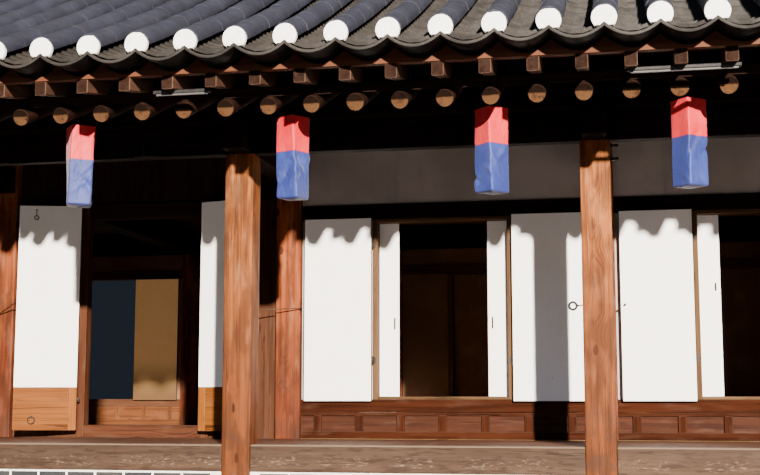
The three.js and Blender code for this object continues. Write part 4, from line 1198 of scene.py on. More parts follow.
granite = make_stone("dressed_granite", (0.25, 0.235, 0.215), (0.15, 0.14, 0.13), (0.40, 0.38, 0.35), 180)
brick = make_stone(
    "grey_fired_brick", (0.040, 0.039, 0.034), (0.014, 0.017, 0.021), (0.075, 0.072, 0.066), 130,
)
mortar, tree, shader, place = new_material("whitened_mortar", 0.93, 0.2)
paint(
    tree, shader,
    mix(tree, fade(tree, noise(tree, place, 14, 5), 0.40, 0.72), (0.85, 0.81, 0.73), (0.68, 0.63, 0.54)),
)
add_bump(tree, shader, noise(tree, place, 110, 4), 0.0012)
STONE_HALF = 0.178
COURSE = 0.068
JOINT = 0.016
BRICK_HEIGHT = 0.34
BRICK_HALF = 0.083
BRICK_PITCH = 0.233
BED_HALF = 0.0824
BED_TOP = 0.3395
LEDGE_HALF = 0.0822
LEDGE_LOW = 0.242


def lay_bricks(length):
    """A low wall of running bond along X, its middle at x = 0 on the ground."""
    one_brick = add_timber("brick", (-0.1, -BRICK_HALF, 0), (0.1, BRICK_HALF, COURSE - JOINT), 0.0025)
    bricks = []
    course = 0
    while (course + 1) * COURSE < BRICK_HEIGHT + 0.003:
        start = -length / 2 - (BRICK_PITCH / 2 if course % 2 else 0)
        while start < length / 2 - 0.02:
            left = max(start, -length / 2) + JOINT / 2
            right = min(start + BRICK_PITCH, length / 2) - JOINT / 2
            if right - left > 0.03:
                laid = copy_to(one_brick, "brick")
                for vertex in laid.data.vertices:
                    side = math.copysign(1, vertex.co.x)
                    vertex.co.x = (left + right) / 2 + side * (
                        (right - left) / 2 - (0.1 - abs(vertex.co.x))
                    )
                    vertex.co.z += course * COURSE + 0.002
                    vertex.co.y += 0.0004 * ((course * 7 + len(bricks)) % 3) * math.copysign(1, vertex.co.y)
                bricks.append(number_board(laid))
            start += BRICK_PITCH
        course += 1
    bpy.data.objects.remove(one_brick)
    return join_pieces("laid_bricks", bricks)


def make_low_walls():
    """The brick walls of the three pillar rows and of the two gable sides."""
    bay_bricks = lay_bricks(BAY - 2 * STONE_HALF)
    veranda_bricks = lay_bricks(INNER_Y - FRONT_Y - 2 * STONE_HALF)
    room_bricks = lay_bricks(REAR_Y - INNER_Y - 2 * STONE_HALF)
    laid = []
    for row_y in (FRONT_Y, INNER_Y, REAR_Y):
        for x in BAY_X:
            laid.append(copy_to(bay_bricks, "row", (x, row_y, 0)))
    for x in (PILLAR_X[0], PILLAR_X[4]):
        laid.append(copy_to(veranda_bricks, "row", (x, (FRONT_Y + INNER_Y) / 2, 0), math.radians(90)))
        laid.append(copy_to(room_bricks, "row", (x, (INNER_Y + REAR_Y) / 2, 0), math.radians(90)))
    for spare in (bay_bricks, veranda_bricks, room_bricks):
        bpy.data.objects.remove(spare)
    return join_pieces("brick_walls", laid)


finish_piece(make_low_walls(), brick, "masonry", "base_masonry")
beds = []
for row_y in (FRONT_Y, INNER_Y, REAR_Y):
    for x in BAY_X:
        beds.append(
            add_timber(
                "bed", (x - 1.175, row_y - BED_HALF, 0), (x + 1.175, row_y + BED_HALF, BED_TOP), 0.003,
            )
        )
        beds.append(
            add_timber(
                "bed", (x - 1.24, row_y - LEDGE_HALF, LEDGE_LOW), (x + 1.24, row_y + LEDGE_HALF, BED_TOP),
                0.003,
            )
        )
for x in (PILLAR_X[0], PILLAR_X[4]):
    for low_y, high_y in ((FRONT_Y, INNER_Y), (INNER_Y, REAR_Y)):
        beds.append(
            add_timber(
                "bed", (x - BED_HALF, low_y + 0.175, 0), (x + BED_HALF, high_y - 0.175, BED_TOP), 0.003,
            )
        )
        beds.append(
            add_timber(
                "bed", (x - LEDGE_HALF, low_y + 0.11, LEDGE_LOW), (x + LEDGE_HALF, high_y - 0.11, BED_TOP),
                0.003,
            )
        )
finish_joined("mortar_beds", beds, mortar, "masonry")
stones = []
for row_y in (FRONT_Y, INNER_Y, REAR_Y):
    for x in PILLAR_X:
        stone = add_timber(
            "stone", (x - STONE_HALF, row_y - STONE_HALF, 0.002),
            (x + STONE_HALF, row_y + STONE_HALF, 0.2385), 0.014,
        )
        with edit_mode():
            bpy.ops.mesh.subdivide(number_cuts=4)
        stones.append(stone)
stones = join_pieces("pillar_stones", stones)
roughen(stones, 0.06, 0.0035)
finish_piece(stones, granite, "masonry")


# Veranda: short pine boards tongued into joists, on a heavy edge beam between the front pillars.
# Feet and rain have greyed the boards; the beam's face is pitted and split, paler along its top edge.
def weather_edge_beam(tree, place, colour):
    """Dark along the upper half, pale and flaked along the lower one, rubbed at the top edge."""
    height = split(tree, place)["Z"]
    ragged = plus(tree, height, times(tree, noise(tree, place, 5, 5, (0.5, 1, 1)), 0.12))
    colour = stain(tree, colour, fade(tree, ragged, 0.440, 0.530), 0.5, (0.040, 0.023, 0.014))
    chips = fade(tree, noise(tree, place, 85, 7, (0.30, 1, 1), 0.3), 0.540, 0.640)
    clusters = fade(tree, noise(tree, place, 3.1, 3, (1, 1, 0.2)), 0.42, 0.60)
    band = times(tree, fade(tree, height, 0.360, 0.395), fade(tree, height, 0.475, 0.430))
    chips = times(tree, times(tree, chips, clusters), times(tree, band, 0.55))
    colour = mix(tree, chips, colour, (0.19, 0.125, 0.085))
    pits = fade(tree, noise(tree, place, 48, 5, (0.16, 1, 1)), 0.52, 0.64)
    colour = stain(tree, colour, pits, 0.60, (0.022, 0.012, 0.008))
    return stain(tree, colour, fade(tree, height, 0.527, 0.534), 0.7, (0.19, 0.135, 0.090))


floor_wood = timber_material("worn_veranda_board", (0.095, 0.036, 0.018), (0.040, 0.013, 0.006), 0.30, 0.5)
edge_wood = timber_material(
    "weathered_edge_beam", (0.078, 0.044, 0.027), (0.029, 0.0155, 0.0093), age=0.30, rings=0.25,
    relief=0.004, weather_and_light=weather_edge_beam,
)
VERANDA_NEAR = -3.1645
VERANDA_FAR = -1.8455
BASE_TOP = 0.3405
FLOOR_TOP = 0.5395
veranda_parts = []
edge_beams = []
for x in BAY_X:
    for joist_x, half in ((x - 1.295, 0.052), (x, 0.055), (x + 1.295, 0.052)):
        veranda_parts.append(
            add_timber(
                "joist", (joist_x - half, VERANDA_NEAR, 0.482), (joist_x + half, VERANDA_FAR, FLOOR_TOP),
                0.004, floor_wood,
            )
        )
    for low_x, high_x in ((x - 1.241, x - 0.057), (x + 0.057, x + 1.241)):
        veranda_parts.append(
            add_planks(
                "short_boards", (low_x, VERANDA_NEAR, 0.484), (high_x, VERANDA_FAR, 0.5385), 11, 1, 0.003,
                0.003, floor_wood,
            )
        )
    edge_beams.append(
        add_timber(
            "edge_beam", (x - 1.2395, -3.3195, BASE_TOP), (x + 1.2395, -3.1655, FLOOR_TOP), 0.009,
            edge_wood,
        )
    )
for x in (PILLAR_X[0], PILLAR_X[4]):
    veranda_parts.append(
        add_timber(
            "side_beam", (x - 0.0745, -3.1145, BASE_TOP), (x + 0.0745, -1.8855, FLOOR_TOP), 0.009,
            floor_wood,
        )
    )
finish_joined("veranda_boards", veranda_parts, None, "weathered_timber", "veranda_floor")
edge_beams = join_pieces("veranda_edge_beams", edge_beams)
finish_piece(edge_beams, None, "weathered_timber")

# Floors inside: long pine boards in the hall, and in the rooms oiled paper over the heated clay floor.
# Both lie on a bed of clay that closes the space under the walls.
hall_wood = timber_material("polished_hall_board", (0.22, 0.095, 0.045), (0.09, 0.033, 0.015), 0.25, 0.6)
oiled_paper, tree, shader, place = new_material("oiled_floor_paper", 0.42, 0.4)
tone = mix(tree, fade(tree, noise(tree, place, 2.5, 5), 0.35, 0.70), (0.52, 0.36, 0.15), (0.40, 0.25, 0.09))
sheets = add_node(tree, "ShaderNodeTexBrick", {
    "Vector": place, "Color1": (1, 1, 1), "Color2": (0.93, 0.93, 0.93), "Mortar": (0.70, 0.66, 0.60),
    "Scale": 1.0, "Mortar Size": 0.008, "Brick Width": 0.9, "Row Height": 0.6,
}).outputs["Color"]
paint(tree, shader, mix(tree, 1.0, tone, sheets, "MULTIPLY"))
add_bump(tree, shader, noise(tree, place, 60, 4), 0.002)
ROOM_SIDE = 5.324
ROOM_NEAR = -1.8445
ROOM_FAR = 3.1495
BOARD_LOW = 0.500
clay_bed = add_block("clay_floor_bed", (-ROOM_SIDE, ROOM_NEAR, BASE_TOP), (ROOM_SIDE, ROOM_FAR, 0.505))
roughen(clay_bed, 0.2, 0.001)
finish_piece(clay_bed, earth, "masonry", "room_floor")
hall_floor = add_planks(
    "hall_floor_boards", (-ROOM_SIDE, ROOM_NEAR, BOARD_LOW), (-0.001, ROOM_FAR, FLOOR_TOP), 30, 0, 0.003,
)
finish_piece(hall_floor, hall_wood, "timber")
room_floors = join_pieces("room_floor_paper", [
    add_timber("paper_floor", (0.001, ROOM_NEAR, BOARD_LOW), (2.695, ROOM_FAR, FLOOR_TOP), 0.004),
    add_timber("paper_floor", (2.697, ROOM_NEAR, BOARD_LOW), (ROOM_SIDE, ROOM_FAR, FLOOR_TOP), 0.004),
])
finish_piece(room_floors, oiled_paper, "timber")


# Room walls towards the veranda: panelled sill, plaster, and a window frame under a dark lintel.
# Six thin panels stand in grooves between short stiles, red-brown and worn paler at knee height.
def wall_timber(bay, spans, edge=0.006, material=None):
    """A timber of the inner wall: x from its bay's middle, y from the pillars, z from the floor."""
    (x0, x1), (y0, y1), (z0, z1) = spans
    low = (BAY_X[bay] + x0, INNER_Y + y0, FLOOR + z0)
    high = (BAY_X[bay] + x1, INNER_Y + y1, FLOOR + z1)
    return add_timber("wall_timber", low, high, edge, material)


sill_wood = timber_material("red_sill_rail", (0.040, 0.0105, 0.0036), (0.014, 0.0034, 0.0012), 0.55, 0.6)
panel_wood = timber_material("red_sill_panel", (0.058, 0.0165, 0.0056), (0.020, 0.0046, 0.0015), 0.55, 0.7)
jamb_wood = timber_material("tan_window_jamb", (0.105, 0.051, 0.0185), (0.050, 0.020, 0.0065), 0.25, 0.6)
PANEL_PITCH = 0.363
BAY_HALF = 1.2395
WINDOW_IN = 0.5600
WINDOW_OUT = 0.5995
PLASTER_TOP = 3.088
JAMB_HALF = 0.0695
SILL_TOP = 0.3335
HEAD_TOP = 1.8905
for bay in (2, 3):
    number = bay - 1
    full = (-BAY_HALF, BAY_HALF)
    panelling = [
        wall_timber(bay, (full, (-0.069, 0.049), (0.0005, 0.063)), 0.006, sill_wood),
        wall_timber(bay, (full, (-0.062, 0.049), (0.198, 0.2235)), 0.004, sill_wood),
        wall_timber(bay, (full, (-0.069, 0.049), (0.2265, 0.3325)), 0.007, sill_wood),
        wall_timber(bay, (full, (-0.042, 0.045), (0.060, 0.200)), 0.002, panel_wood),
    ]
    for i in range(7):
        x = (i - 3) * PANEL_PITCH
        panelling.append(
            wall_timber(bay, ((x - 0.033, x + 0.033), (-0.065, 0.04), (0.061, 0.200)), 0.005, sill_wood)
        )
    finish_joined(f"sill_panelling_{number}", panelling, None, "timber", f"window_frame_{number}")
    lintel = wall_timber(bay, (full, (-0.0695, -0.0405), (1.8915, 2.0225)), 0.006, smoked_shaded_pine)
    lintel.name = f"window_lintel_{number}"
    finish_piece(lintel, None, "dark_timber")
    frame_parts = [wall_timber(bay, spans, 0.004, jamb_wood) for spans in (
        ((-WINDOW_OUT, -0.5605), (-JAMB_HALF, JAMB_HALF), (SILL_TOP, HEAD_TOP)),
        ((0.5605, WINDOW_OUT), (-JAMB_HALF, JAMB_HALF), (SILL_TOP, HEAD_TOP)),
        ((-WINDOW_IN, WINDOW_IN), (-JAMB_HALF, JAMB_HALF), (1.8605, HEAD_TOP)),
        ((-WINDOW_IN, WINDOW_IN), (-0.0690, 0.0690), (SILL_TOP, 0.3575)),
    )]
    finish_joined(f"window_jambs_{number}", frame_parts, None, "timber")
    plaster_parts = [wall_timber(bay, spans, 0.003) for spans in (
        ((-BAY_HALF, -0.600), (-0.0395, 0.0495), (0.333, PLASTER_TOP)),
        ((0.600, BAY_HALF), (-0.0395, 0.0495), (0.333, PLASTER_TOP)),
        ((-0.601, 0.601), (-0.0390, 0.0490), (1.901, PLASTER_TOP)),
    )]
    finish_joined(f"room_plaster_{number}", plaster_parts, smoked_plaster, "plaster", f"room_wall_{number}")


# Windows: sliding sashes and folding leaves of thin pine bars, papered all over on the side that shows.
# The paper is mulberry paper pasted wet, so it has dried tight, with the bars showing faintly through.
def make_paper(name, pale, shade, bar_pitch):
    material, tree, shader, place = new_material(name, 0.90, 0.2)
    fibres = noise(tree, place, 95, 6, (1, 1, 0.6), 1.2)
    colour = mix(tree, fade(tree, fibres, 0.42, 0.75), pale, shade)
    dull = fade(tree, noise(tree, place, 3.2, 5), 0.48, 0.75)
    colour = stain(tree, colour, dull, 0.12, (0.70, 0.62, 0.50))
    along = split(tree, place)["X"]
    ripple = reckon(tree, "PINGPONG", along, bar_pitch / 2)
    bars = fade(tree, ripple, 0.010, 0.004)
    colour = stain(tree, colour, bars, 0.025, (0.45, 0.38, 0.30))
    spots = fade(tree, noise(tree, place, 30, 2), 0.755, 0.765)
    colour = stain(tree, colour, spots, 0.5, (0.34, 0.26, 0.18))
    paint(tree, shader, colour)
    heights = plus(tree, times(tree, fibres, 0.5), times(tree, bars, 0.15))
    heights = plus(tree, heights, times(tree, noise(tree, place, 7, 3), 0.9))
    add_bump(tree, shader, heights, 0.0012)
    return material


window_paper = make_paper("window_paper", (0.95, 0.94, 0.92), (0.91, 0.90, 0.87), 0.098)
LEAF_HINGES = (1.208, 2.208)
bar_wood = timber_material("pale_lattice_bar", (0.17, 0.085, 0.038), (0.085, 0.036, 0.015), 0.3, 0.5)
black_iron, tree, shader, place = new_material("forged_black_iron", 0.55, 0.5)
shader.inputs["Metallic"].default_value = 0.75
rust = fade(tree, noise(tree, place, 60, 5), 0.45, 0.70)
paint(tree, shader, mix(tree, rust, (0.022, 0.020, 0.019), (0.050, 0.022, 0.012)))
tree.links.new(plus(tree, times(tree, rust, 0.3), 0.45), shader.inputs["Roughness"])
add_bump(tree, shader, noise(tree, place, 150, 4), 0.0010)


def add_bars(low, high, count, material):
    """A light lattice in a frame: uprights, and rails in three groups."""
    x, y, z = low
    bar = add_timber("bar", (x - 0.005, y, z), (x + 0.005, high[1], high[2]), 0.0015, material)
    rail = add_timber(
        "rail", (x, y + 0.001, z - 0.005), (high[0], high[1] - 0.001, z + 0.005), 0.0015, material,
    )
    bars = []
    for index in range(1, count + 1):
        bars.append(number_board(copy_to(bar, "bar", ((high[0] - x) * index / (count + 1), 0, 0))))
    for share in (0.06, 0.11, 0.16, 0.42, 0.46, 0.50, 0.54, 0.58, 0.84, 0.89, 0.94):
        bars.append(number_board(copy_to(rail, "rail", (0, 0, (high[2] - z) * share))))
    bpy.data.objects.remove(bar)
    bpy.data.objects.remove(rail)
    return bars


def add_leaf_frame(low, high, border, material):
    """Two stiles and two rails round an opening."""
    x0, y0, z0 = low
    x1, y1, z1 = high
    return [
        add_timber("stile", (x0, y0, z0), (x0 + border, y1, z1), 0.003, material),
        add_timber("stile", (x1 - border, y0, z0), (x1, y1, z1), 0.003, material),
        add_timber("rail", (x0 + border, y0, z0), (x1 - border, y1, z0 + border), 0.003, material),
        add_timber("rail", (x0 + border, y0, z1 - border), (x1 - border, y1, z1), 0.003, material),
    ]


def add_rod(name, start, end, radius, vertices=10):
    """A straight round rod between two points."""
    start = Vector(start)
    end = Vector(end)
    line = end - start
    rod = add_primitive(
        bpy.ops.mesh.primitive_cylinder_add, name, vertices=vertices, radius=radius, depth=line.length,
        location=(start + end) / 2, rotation=line.to_track_quat("Z", "Y").to_euler(),
    )
    ease_edges(rod, radius * 0.3, 1)
    smooth(40)
    return rod


def add_ring(name, centre, radius, thickness):
    """A ring that hangs flat against a leaf."""
    ring = add_primitive(
        bpy.ops.mesh.primitive_torus_add, name, location=centre, rotation=LYING_ALONG_Y,
        major_radius=radius, minor_radius=thickness, major_segments=28, minor_segments=8,
    )
    smooth(60)
    return ring


def add_knob(centre, radius):
    """A forged round nail head."""
    knob = add_primitive(
        bpy.ops.mesh.primitive_uv_sphere_add, "knob", segments=12, ring_count=8, radius=radius,
        location=centre,
    )
    smooth(60)
    return knob


for bay in (2, 3):
    number = bay - 1
    middle = BAY_X[bay]
    sash_wood = []
    sash_paper = []
    grips = []
    for side in (-1, 1):
        near, far = sorted((middle + side * 0.384, middle + side * 0.559))
        low = (near, INNER_Y + 0.0175, FLOOR + 0.358)
        high = (far, INNER_Y + 0.0445, FLOOR + 1.860)
        sash_wood += add_leaf_frame(low, high, 0.026, jamb_wood)
        sash_wood += add_bars(
            (near + 0.02, INNER_Y + 0.020, low[2] + 0.02), (far - 0.02, INNER_Y + 0.036, high[2] - 0.02), 2,
            bar_wood,
        )
        sash_paper.append(
            add_timber(
                "paper", (near + 0.001, INNER_Y + 0.0152, low[2] + 0.001),
                (far - 0.001, INNER_Y + 0.0174, high[2] - 0.001), 0.0008,
            )
        )
        grip_z = (1.475, 1.575) if bay == 2 else (1.767, 1.834)
        grip_x = middle + side * 0.424
        grips.append(
            add_timber(
                "grip", (grip_x - 0.006, INNER_Y + 0.004, grip_z[0]),
                (grip_x + 0.006, INNER_Y + 0.0155, grip_z[1]), 0.004,
            )
        )
    finish_joined(f"sash_bars_{number}", sash_wood, None, "timber")
    finish_joined(f"sash_paper_{number}", sash_paper, window_paper, "paper")
    finish_joined(f"sash_grips_{number}", grips, panel_wood, "timber")
    for name, side in (("left", -1), ("right", 1)):
        near, far = sorted((middle + side * 0.604, middle + side * 1.1995))
        low = (near, INNER_Y - 0.1238, FLOOR + 0.319)
        high = (far, INNER_Y - 0.0905, FLOOR + 1.897)
        leaf = add_leaf_frame(low, high, 0.034, jamb_wood)
        leaf += add_bars(
            (near + 0.03, INNER_Y - 0.118, low[2] + 0.03), (far - 0.03, INNER_Y - 0.094, high[2] - 0.03), 6,
            bar_wood,
        )
        leaf = join_pieces(f"window_leaf_bars_{number}_{name}", leaf)
        finish_piece(leaf, None, "timber", f"window_leaf_{number}_{name}")
        paper = add_timber(
            f"window_leaf_paper_{number}_{name}", (near + 0.003, INNER_Y - 0.1259, low[2] + 0.003),
            (far - 0.003, INNER_Y - 0.1237, high[2] - 0.003), 0.0009,
        )
        finish_piece(paper, window_paper, "paper")
        hinges = []
        for z in LEAF_HINGES:
            hinge_x = middle + side * 0.602
            hinges.append(
                add_rod(
                    "knuckle", (hinge_x, INNER_Y - 0.0805, z - 0.035),
                    (hinge_x, INNER_Y - 0.0805, z + 0.035), 0.008,
                )
            )
            hinges.append(
                add_timber(
                    "plate", (hinge_x, INNER_Y - 0.0895, z - 0.03),
                    (hinge_x + side * 0.040, INNER_Y - 0.086, z + 0.03), 0.001,
                )
            )
            hinges.append(
                add_timber(
                    "plate", (hinge_x, INNER_Y - 0.0735, z - 0.03),
                    (hinge_x - side * 0.024, INNER_Y - 0.0700, z + 0.03), 0.001,
                )
            )
        finish_joined(f"window_hinges_{number}_{name}", hinges, black_iron, "dark_timber")


# Hall doorway: two tall leaves in a raised frame, between upright boards and under more boards.
# A leaf has a wooden foot, bars above it, and paper over the whole inner side down to the foot.
hall_plank_wood = timber_material(
    "red_hall_plank", (0.080, 0.0285, 0.0105), (0.027, 0.0080, 0.0026), 0.30, 0.8,
)
door_wood = timber_material("red_door_jamb", (0.085, 0.0270, 0.0100), (0.030, 0.0080, 0.0028), 0.30, 0.7)
DOOR_IN = 0.5410
DOOR_OUT = 0.6205
DOOR_TOP = 2.0995
DOOR_DEPTH = (-0.0695, 0.0395)
RAIL_DEPTH = (-0.0690, 0.0390)
PLANK_HALF = 0.0390
LEAF_BOTTOM = 0.603
LEAF_FOOT = 0.982
LEAF_TOP = 2.610
HINGE_DROP = 0.126
DOOR_HINGES = (FLOOR + 0.330, FLOOR + 1.800)
for bay, name in ((1, "open"), (0, "shut")):
    frame_timbers = [
        wall_timber(bay, ((-DOOR_OUT, -0.5415), DOOR_DEPTH, (0.0005, DOOR_TOP)), 0.007, door_wood),
        wall_timber(bay, ((0.5415, DOOR_OUT), DOOR_DEPTH, (0.0005, DOOR_TOP)), 0.007, door_wood),
        wall_timber(bay, ((-DOOR_IN, DOOR_IN), RAIL_DEPTH, (0.0005, 0.1085)), 0.008, door_wood),
        # The door head takes the dark wall timber: painted shade.
        wall_timber(bay, ((-DOOR_IN, DOOR_IN), RAIL_DEPTH, (1.9595, 2.0990)), 0.007, smoked_shaded_post),
    ]
    node_name = "door_frame" if bay == 1 else "shut_hall_front"
    finish_joined(f"{name}_door_frame", frame_timbers, None, "timber", node_name)
    for side, low_x, high_x in (("left", -BAY_HALF, -0.6215), ("right", 0.6215, BAY_HALF)):
        low = (BAY_X[bay] + low_x, INNER_Y - PLANK_HALF, FLOOR + 0.0005)
        high = (BAY_X[bay] + high_x, INNER_Y + PLANK_HALF, FLOOR + DOOR_TOP)
        boards = add_planks(f"{name}_hall_planks_{side}", low, high, 3, 0, 0.005, 0.002)
        finish_piece(boards, hall_plank_wood, "timber", *([f"hall_wall_{side}"] if bay == 1 else []))
    low = (BAY_X[bay] - BAY_HALF, INNER_Y - PLANK_HALF, 2.6405)
    high = (BAY_X[bay] + BAY_HALF, INNER_Y + PLANK_HALF, 3.6280)
    upper = add_planks(f"{name}_hall_upper_planks", low, high, 9, 0, 0.005, 0.002)
    finish_piece(upper, smoked_shaded_post, "dark_timber", *(["hall_wall_top"] if bay == 1 else []))

LEAF_TURN = math.radians(165)


def make_leaf():
    """A leaf shut in its frame, measured from its hinge pin at x = 0, y = 0, reaching along X."""
    foot = [
        add_timber("hinge_stile", (0.011, 0.0145, LEAF_BOTTOM), (0.080, 0.0498, LEAF_FOOT), 0.003),
        add_timber("foot_rail", (0.081, 0.0155, 0.8600), (0.5645, 0.0496, LEAF_FOOT), 0.003),
        add_timber("foot_board", (0.081, 0.0165, LEAF_BOTTOM), (0.5645, 0.0494, 0.8585), 0.003),
    ]
    upper = add_leaf_frame((0.011, 0.0145, LEAF_FOOT + 0.001), (0.5645, 0.0472, LEAF_TOP), 0.055, None)
    bars = add_bars((0.06, 0.018, LEAF_FOOT + 0.05), (0.515, 0.036, LEAF_TOP - 0.05), 7, None)
    timber = join_pieces("leaf_timber", foot + upper + bars)
    paper = add_timber("leaf_paper", (0.012, 0.0470, LEAF_FOOT), (0.5635, 0.0496, LEAF_TOP - 0.001), 0.001)
    fittings = [
        add_ring("ring", (0.400, 0.0560, 0.690), 0.030, 0.0050),
        add_rod("staple", (0.400, 0.0480, 0.720), (0.400, 0.0620, 0.720), 0.011),
        add_ring("pull_ring", (0.412, 0.0526, 2.500), 0.019, 0.0036),
        add_rod("pull_shank", (0.412, 0.0524, 2.515), (0.412, 0.0524, 2.580), 0.0038),
        add_rod("pull_stud", (0.412, 0.0480, 2.572), (0.412, 0.0562, 2.572), 0.008),
    ]
    for z in DOOR_HINGES:
        fittings.append(add_rod("pin", (0, 0, z - 0.019), (0, 0, z + 0.019), 0.0038, 12))
        fittings.append(
            add_timber("strap", (-0.007, -0.007, z + 0.001), (0.049, 0.0135, z + 0.0195), 0.002)
        )
    iron_parts = join_pieces("leaf_iron", fittings)
    return timber, paper, iron_parts


def set_leaf(piece, name, hinge, turn, mirrored):
    """A copy of a leaf's piece at its hinge, mirrored for the right leaf, then swung by its turn."""
    place = Matrix.Translation((*hinge, 0)) @ Matrix.Rotation(turn, 4, "Z")
    if mirrored:
        place = place @ Matrix.Diagonal((-1, 1, 1, 1))
    leaf = piece.copy()
    leaf.data = piece.data.copy()
    leaf.name = name
    leaf.data.transform(place)
    if mirrored:
        leaf.data.flip_normals()
    bpy.context.scene.collection.objects.link(leaf)
    return leaf


leaf_wood = timber_material("honey_leaf_pine", (0.205, 0.066, 0.0085), (0.128, 0.034, 0.0038), 0.10, 0.6)
door_paper = make_paper("door_paper", (0.95, 0.94, 0.92), (0.91, 0.90, 0.87), 0.062)
leaf_parts = make_leaf()
for bay, bay_name in ((1, "open"), (0, "shut")):
    for name, side in (("left", -1), ("right", 1)):
        turn = side * LEAF_TURN if bay == 1 else 0.0
        hinge = (BAY_X[bay] + side * 0.57, INNER_Y - HINGE_DROP)
        body = f"{name}_door" if bay == 1 else "house"
        timber, paper, iron_parts = (
            set_leaf(piece, f"{bay_name}_{name}_{piece.name}", hinge, turn, side > 0)
            for piece in leaf_parts
        )
        finish_piece(timber, leaf_wood, "timber", *([f"door_leaf_{name}"] if bay == 1 else []), body=body)
        finish_piece(paper, door_paper, "paper", body=body)
        finish_piece(iron_parts, black_iron, "dark_timber", body=body)
        sockets = []
        for z in DOOR_HINGES:
            tube = add_rod(
                "socket", (hinge[0], hinge[1], z - 0.0195), (hinge[0], hinge[1], z - 0.0005), 0.0085, 16,
            )
            bore = add_rod(
                "bore", (hinge[0], hinge[1], z - 0.03), (hinge[0], hinge[1], z + 0.01), 0.0047, 16,
            )
            apply_modifier(tube, "BOOLEAN", object=bore, operation="DIFFERENCE", solver="EXACT")
            bpy.data.objects.remove(bore)
            sockets.append(tube)
            arm = (hinge[0] + side * 0.0075, hinge[1] - 0.0075, z - 0.019)
            sockets.append(
                add_timber("arm", arm, (hinge[0] + side * 0.039, hinge[1] + 0.0075, z - 0.001), 0.002)
            )
            leg = (hinge[0] + side * 0.013, hinge[1] - 0.007, z - 0.019)
            sockets.append(
                add_timber("leg", leg, (hinge[0] + side * 0.039, INNER_Y - 0.066, z - 0.001), 0.002)
            )
        finish_joined(f"{bay_name}_{name}_sockets", sockets, black_iron, "dark_timber")
for spare in leaf_parts:
    bpy.data.objects.remove(spare)


# Side walls and the wall between hall and rooms: plaster between a sill, a middle rail and a post.
# The timbers stand a little proud of the plaster, as both sides were filled up to their edges.
side_wood = timber_material("side_wall_timber", (0.135, 0.058, 0.030), (0.055, 0.021, 0.011), 0.35, 0.6)
wall_from = INNER_Y + 0.1105
wall_to = REAR_Y - 0.1105
wall_middle = (wall_from + wall_to) / 2
RAIL_LOW = 1.591
RAIL_HIGH = 1.699
SILL_HALF = 0.0745
for name, x in (("left", PILLAR_X[0]), ("right", PILLAR_X[4])):
    panel = add_timber(
        f"{name}_side_plaster", (x - 0.059, wall_from, 0.3415), (x + 0.059, wall_to, BEAM_Z - 0.001), 0.003,
    )
    finish_piece(panel, outer_plaster, "plaster", f"{name}_side_wall")
    timbers = [
        add_timber(
            "ground_sill", (x - SILL_HALF, wall_from, 0.3410), (x + SILL_HALF, wall_to, FLOOR - 0.001),
            0.007, side_wood,
        ),
        add_timber(
            "middle_rail", (x - SILL_HALF, wall_from, RAIL_LOW), (x + SILL_HALF, wall_to, RAIL_HIGH), 0.007,
            side_wood,
        ),
        add_timber(
            "middle_post", (x - 0.0740, wall_middle - 0.07, FLOOR),
            (x + 0.0740, wall_middle + 0.07, BEAM_Z - 0.001), 0.007, side_wood,
        ),
    ]
    finish_joined(f"{name}_side_timbers", timbers, None, "timber")
wall_x = PILLAR_X[2]
panel = add_timber(
    "partition_plaster", (wall_x - 0.043, wall_from, FLOOR + 0.001),
    (wall_x + 0.043, wall_to, BEAM_Z - 0.001), 0.003,
)
finish_piece(panel, smoked_plaster, "plaster", "hall_partition")
timbers = [
    add_timber(
        "foot_rail", (wall_x - 0.0495, wall_from, FLOOR + 0.001), (wall_x + 0.0495, wall_to, FLOOR + 0.10),
        0.006, side_wood,
    ),
    add_timber(
        "middle_rail", (wall_x - 0.0495, wall_from, RAIL_LOW), (wall_x + 0.0495, wall_to, RAIL_HIGH), 0.006,
        side_wood,
    ),
    add_timber(
        "middle_post", (wall_x - 0.0490, wall_middle - 0.07, FLOOR + 0.10),
        (wall_x + 0.0490, wall_middle + 0.07, BEAM_Z - 0.001), 0.006, side_wood,
    ),
]
finish_joined("partition_timbers", timbers, None, "timber")


# Rear walls: a pillar, a ground sill, rails and a window in each bay, with plaster between them.
# The hall's window at the left stands open, its leaves folded in; the other leaves are shut.
def paint_glow_and_shade(material, top, bottom, level):
    """Painted light on an open leaf: above the level its paper has a painted glow, and below it, where the
    lamp in front lights it through the doorway, its colour is painted darker and browner.
    """
    tree = material.node_tree
    shader = tree.nodes["Principled BSDF"]
    place = add_node(tree, "ShaderNodeTexCoord").outputs["Object"]
    height = split(tree, place)["Z"]
    share = fade(tree, height, level - 0.30, level + 0.25)
    colour = shader.inputs["Base Color"].links[0].from_socket
    paint(tree, shader, mix(tree, share, bottom, colour))
    painted_glow = mix(tree, noise(tree, place, 6, 4), top, scaled(top, 0.8))
    tree.links.new(mix(tree, share, (0.02, 0.01, 0.003), painted_glow), shader.inputs["Emission Color"])
    shader.inputs["Emission Strength"].default_value = 1.0


rear_wood = timber_material("rear_wall_timber", (0.120, 0.046, 0.020), (0.050, 0.017, 0.007), 0.35, 0.6)
honey_panel = timber_material("honey_rear_panel", (0.160, 0.056, 0.017), (0.075, 0.022, 0.007), 0.25, 0.6)
# The open leaf's paper is painted a brighter gold than the shut leaves' brown paper: partly painted light.
beige_paper = make_paper("old_window_paper", (0.62, 0.38, 0.16), (0.50, 0.29, 0.11), 0.098)
paint_glow_and_shade(beige_paper, (0.160, 0.084, 0.032), (0.115, 0.061, 0.024), 1.20)
brown_paper = make_paper("brown_window_paper", (0.20, 0.10, 0.045), (0.14, 0.066, 0.028), 0.098)


def rear_timber(bay, x0, x1, half, z0, z1, material=None):
    return add_timber(
        "rear_timber", (BAY_X[bay] + x0, REAR_Y - half, z0), (BAY_X[bay] + x1, REAR_Y + half, z1), 0.006,
        material,
    )


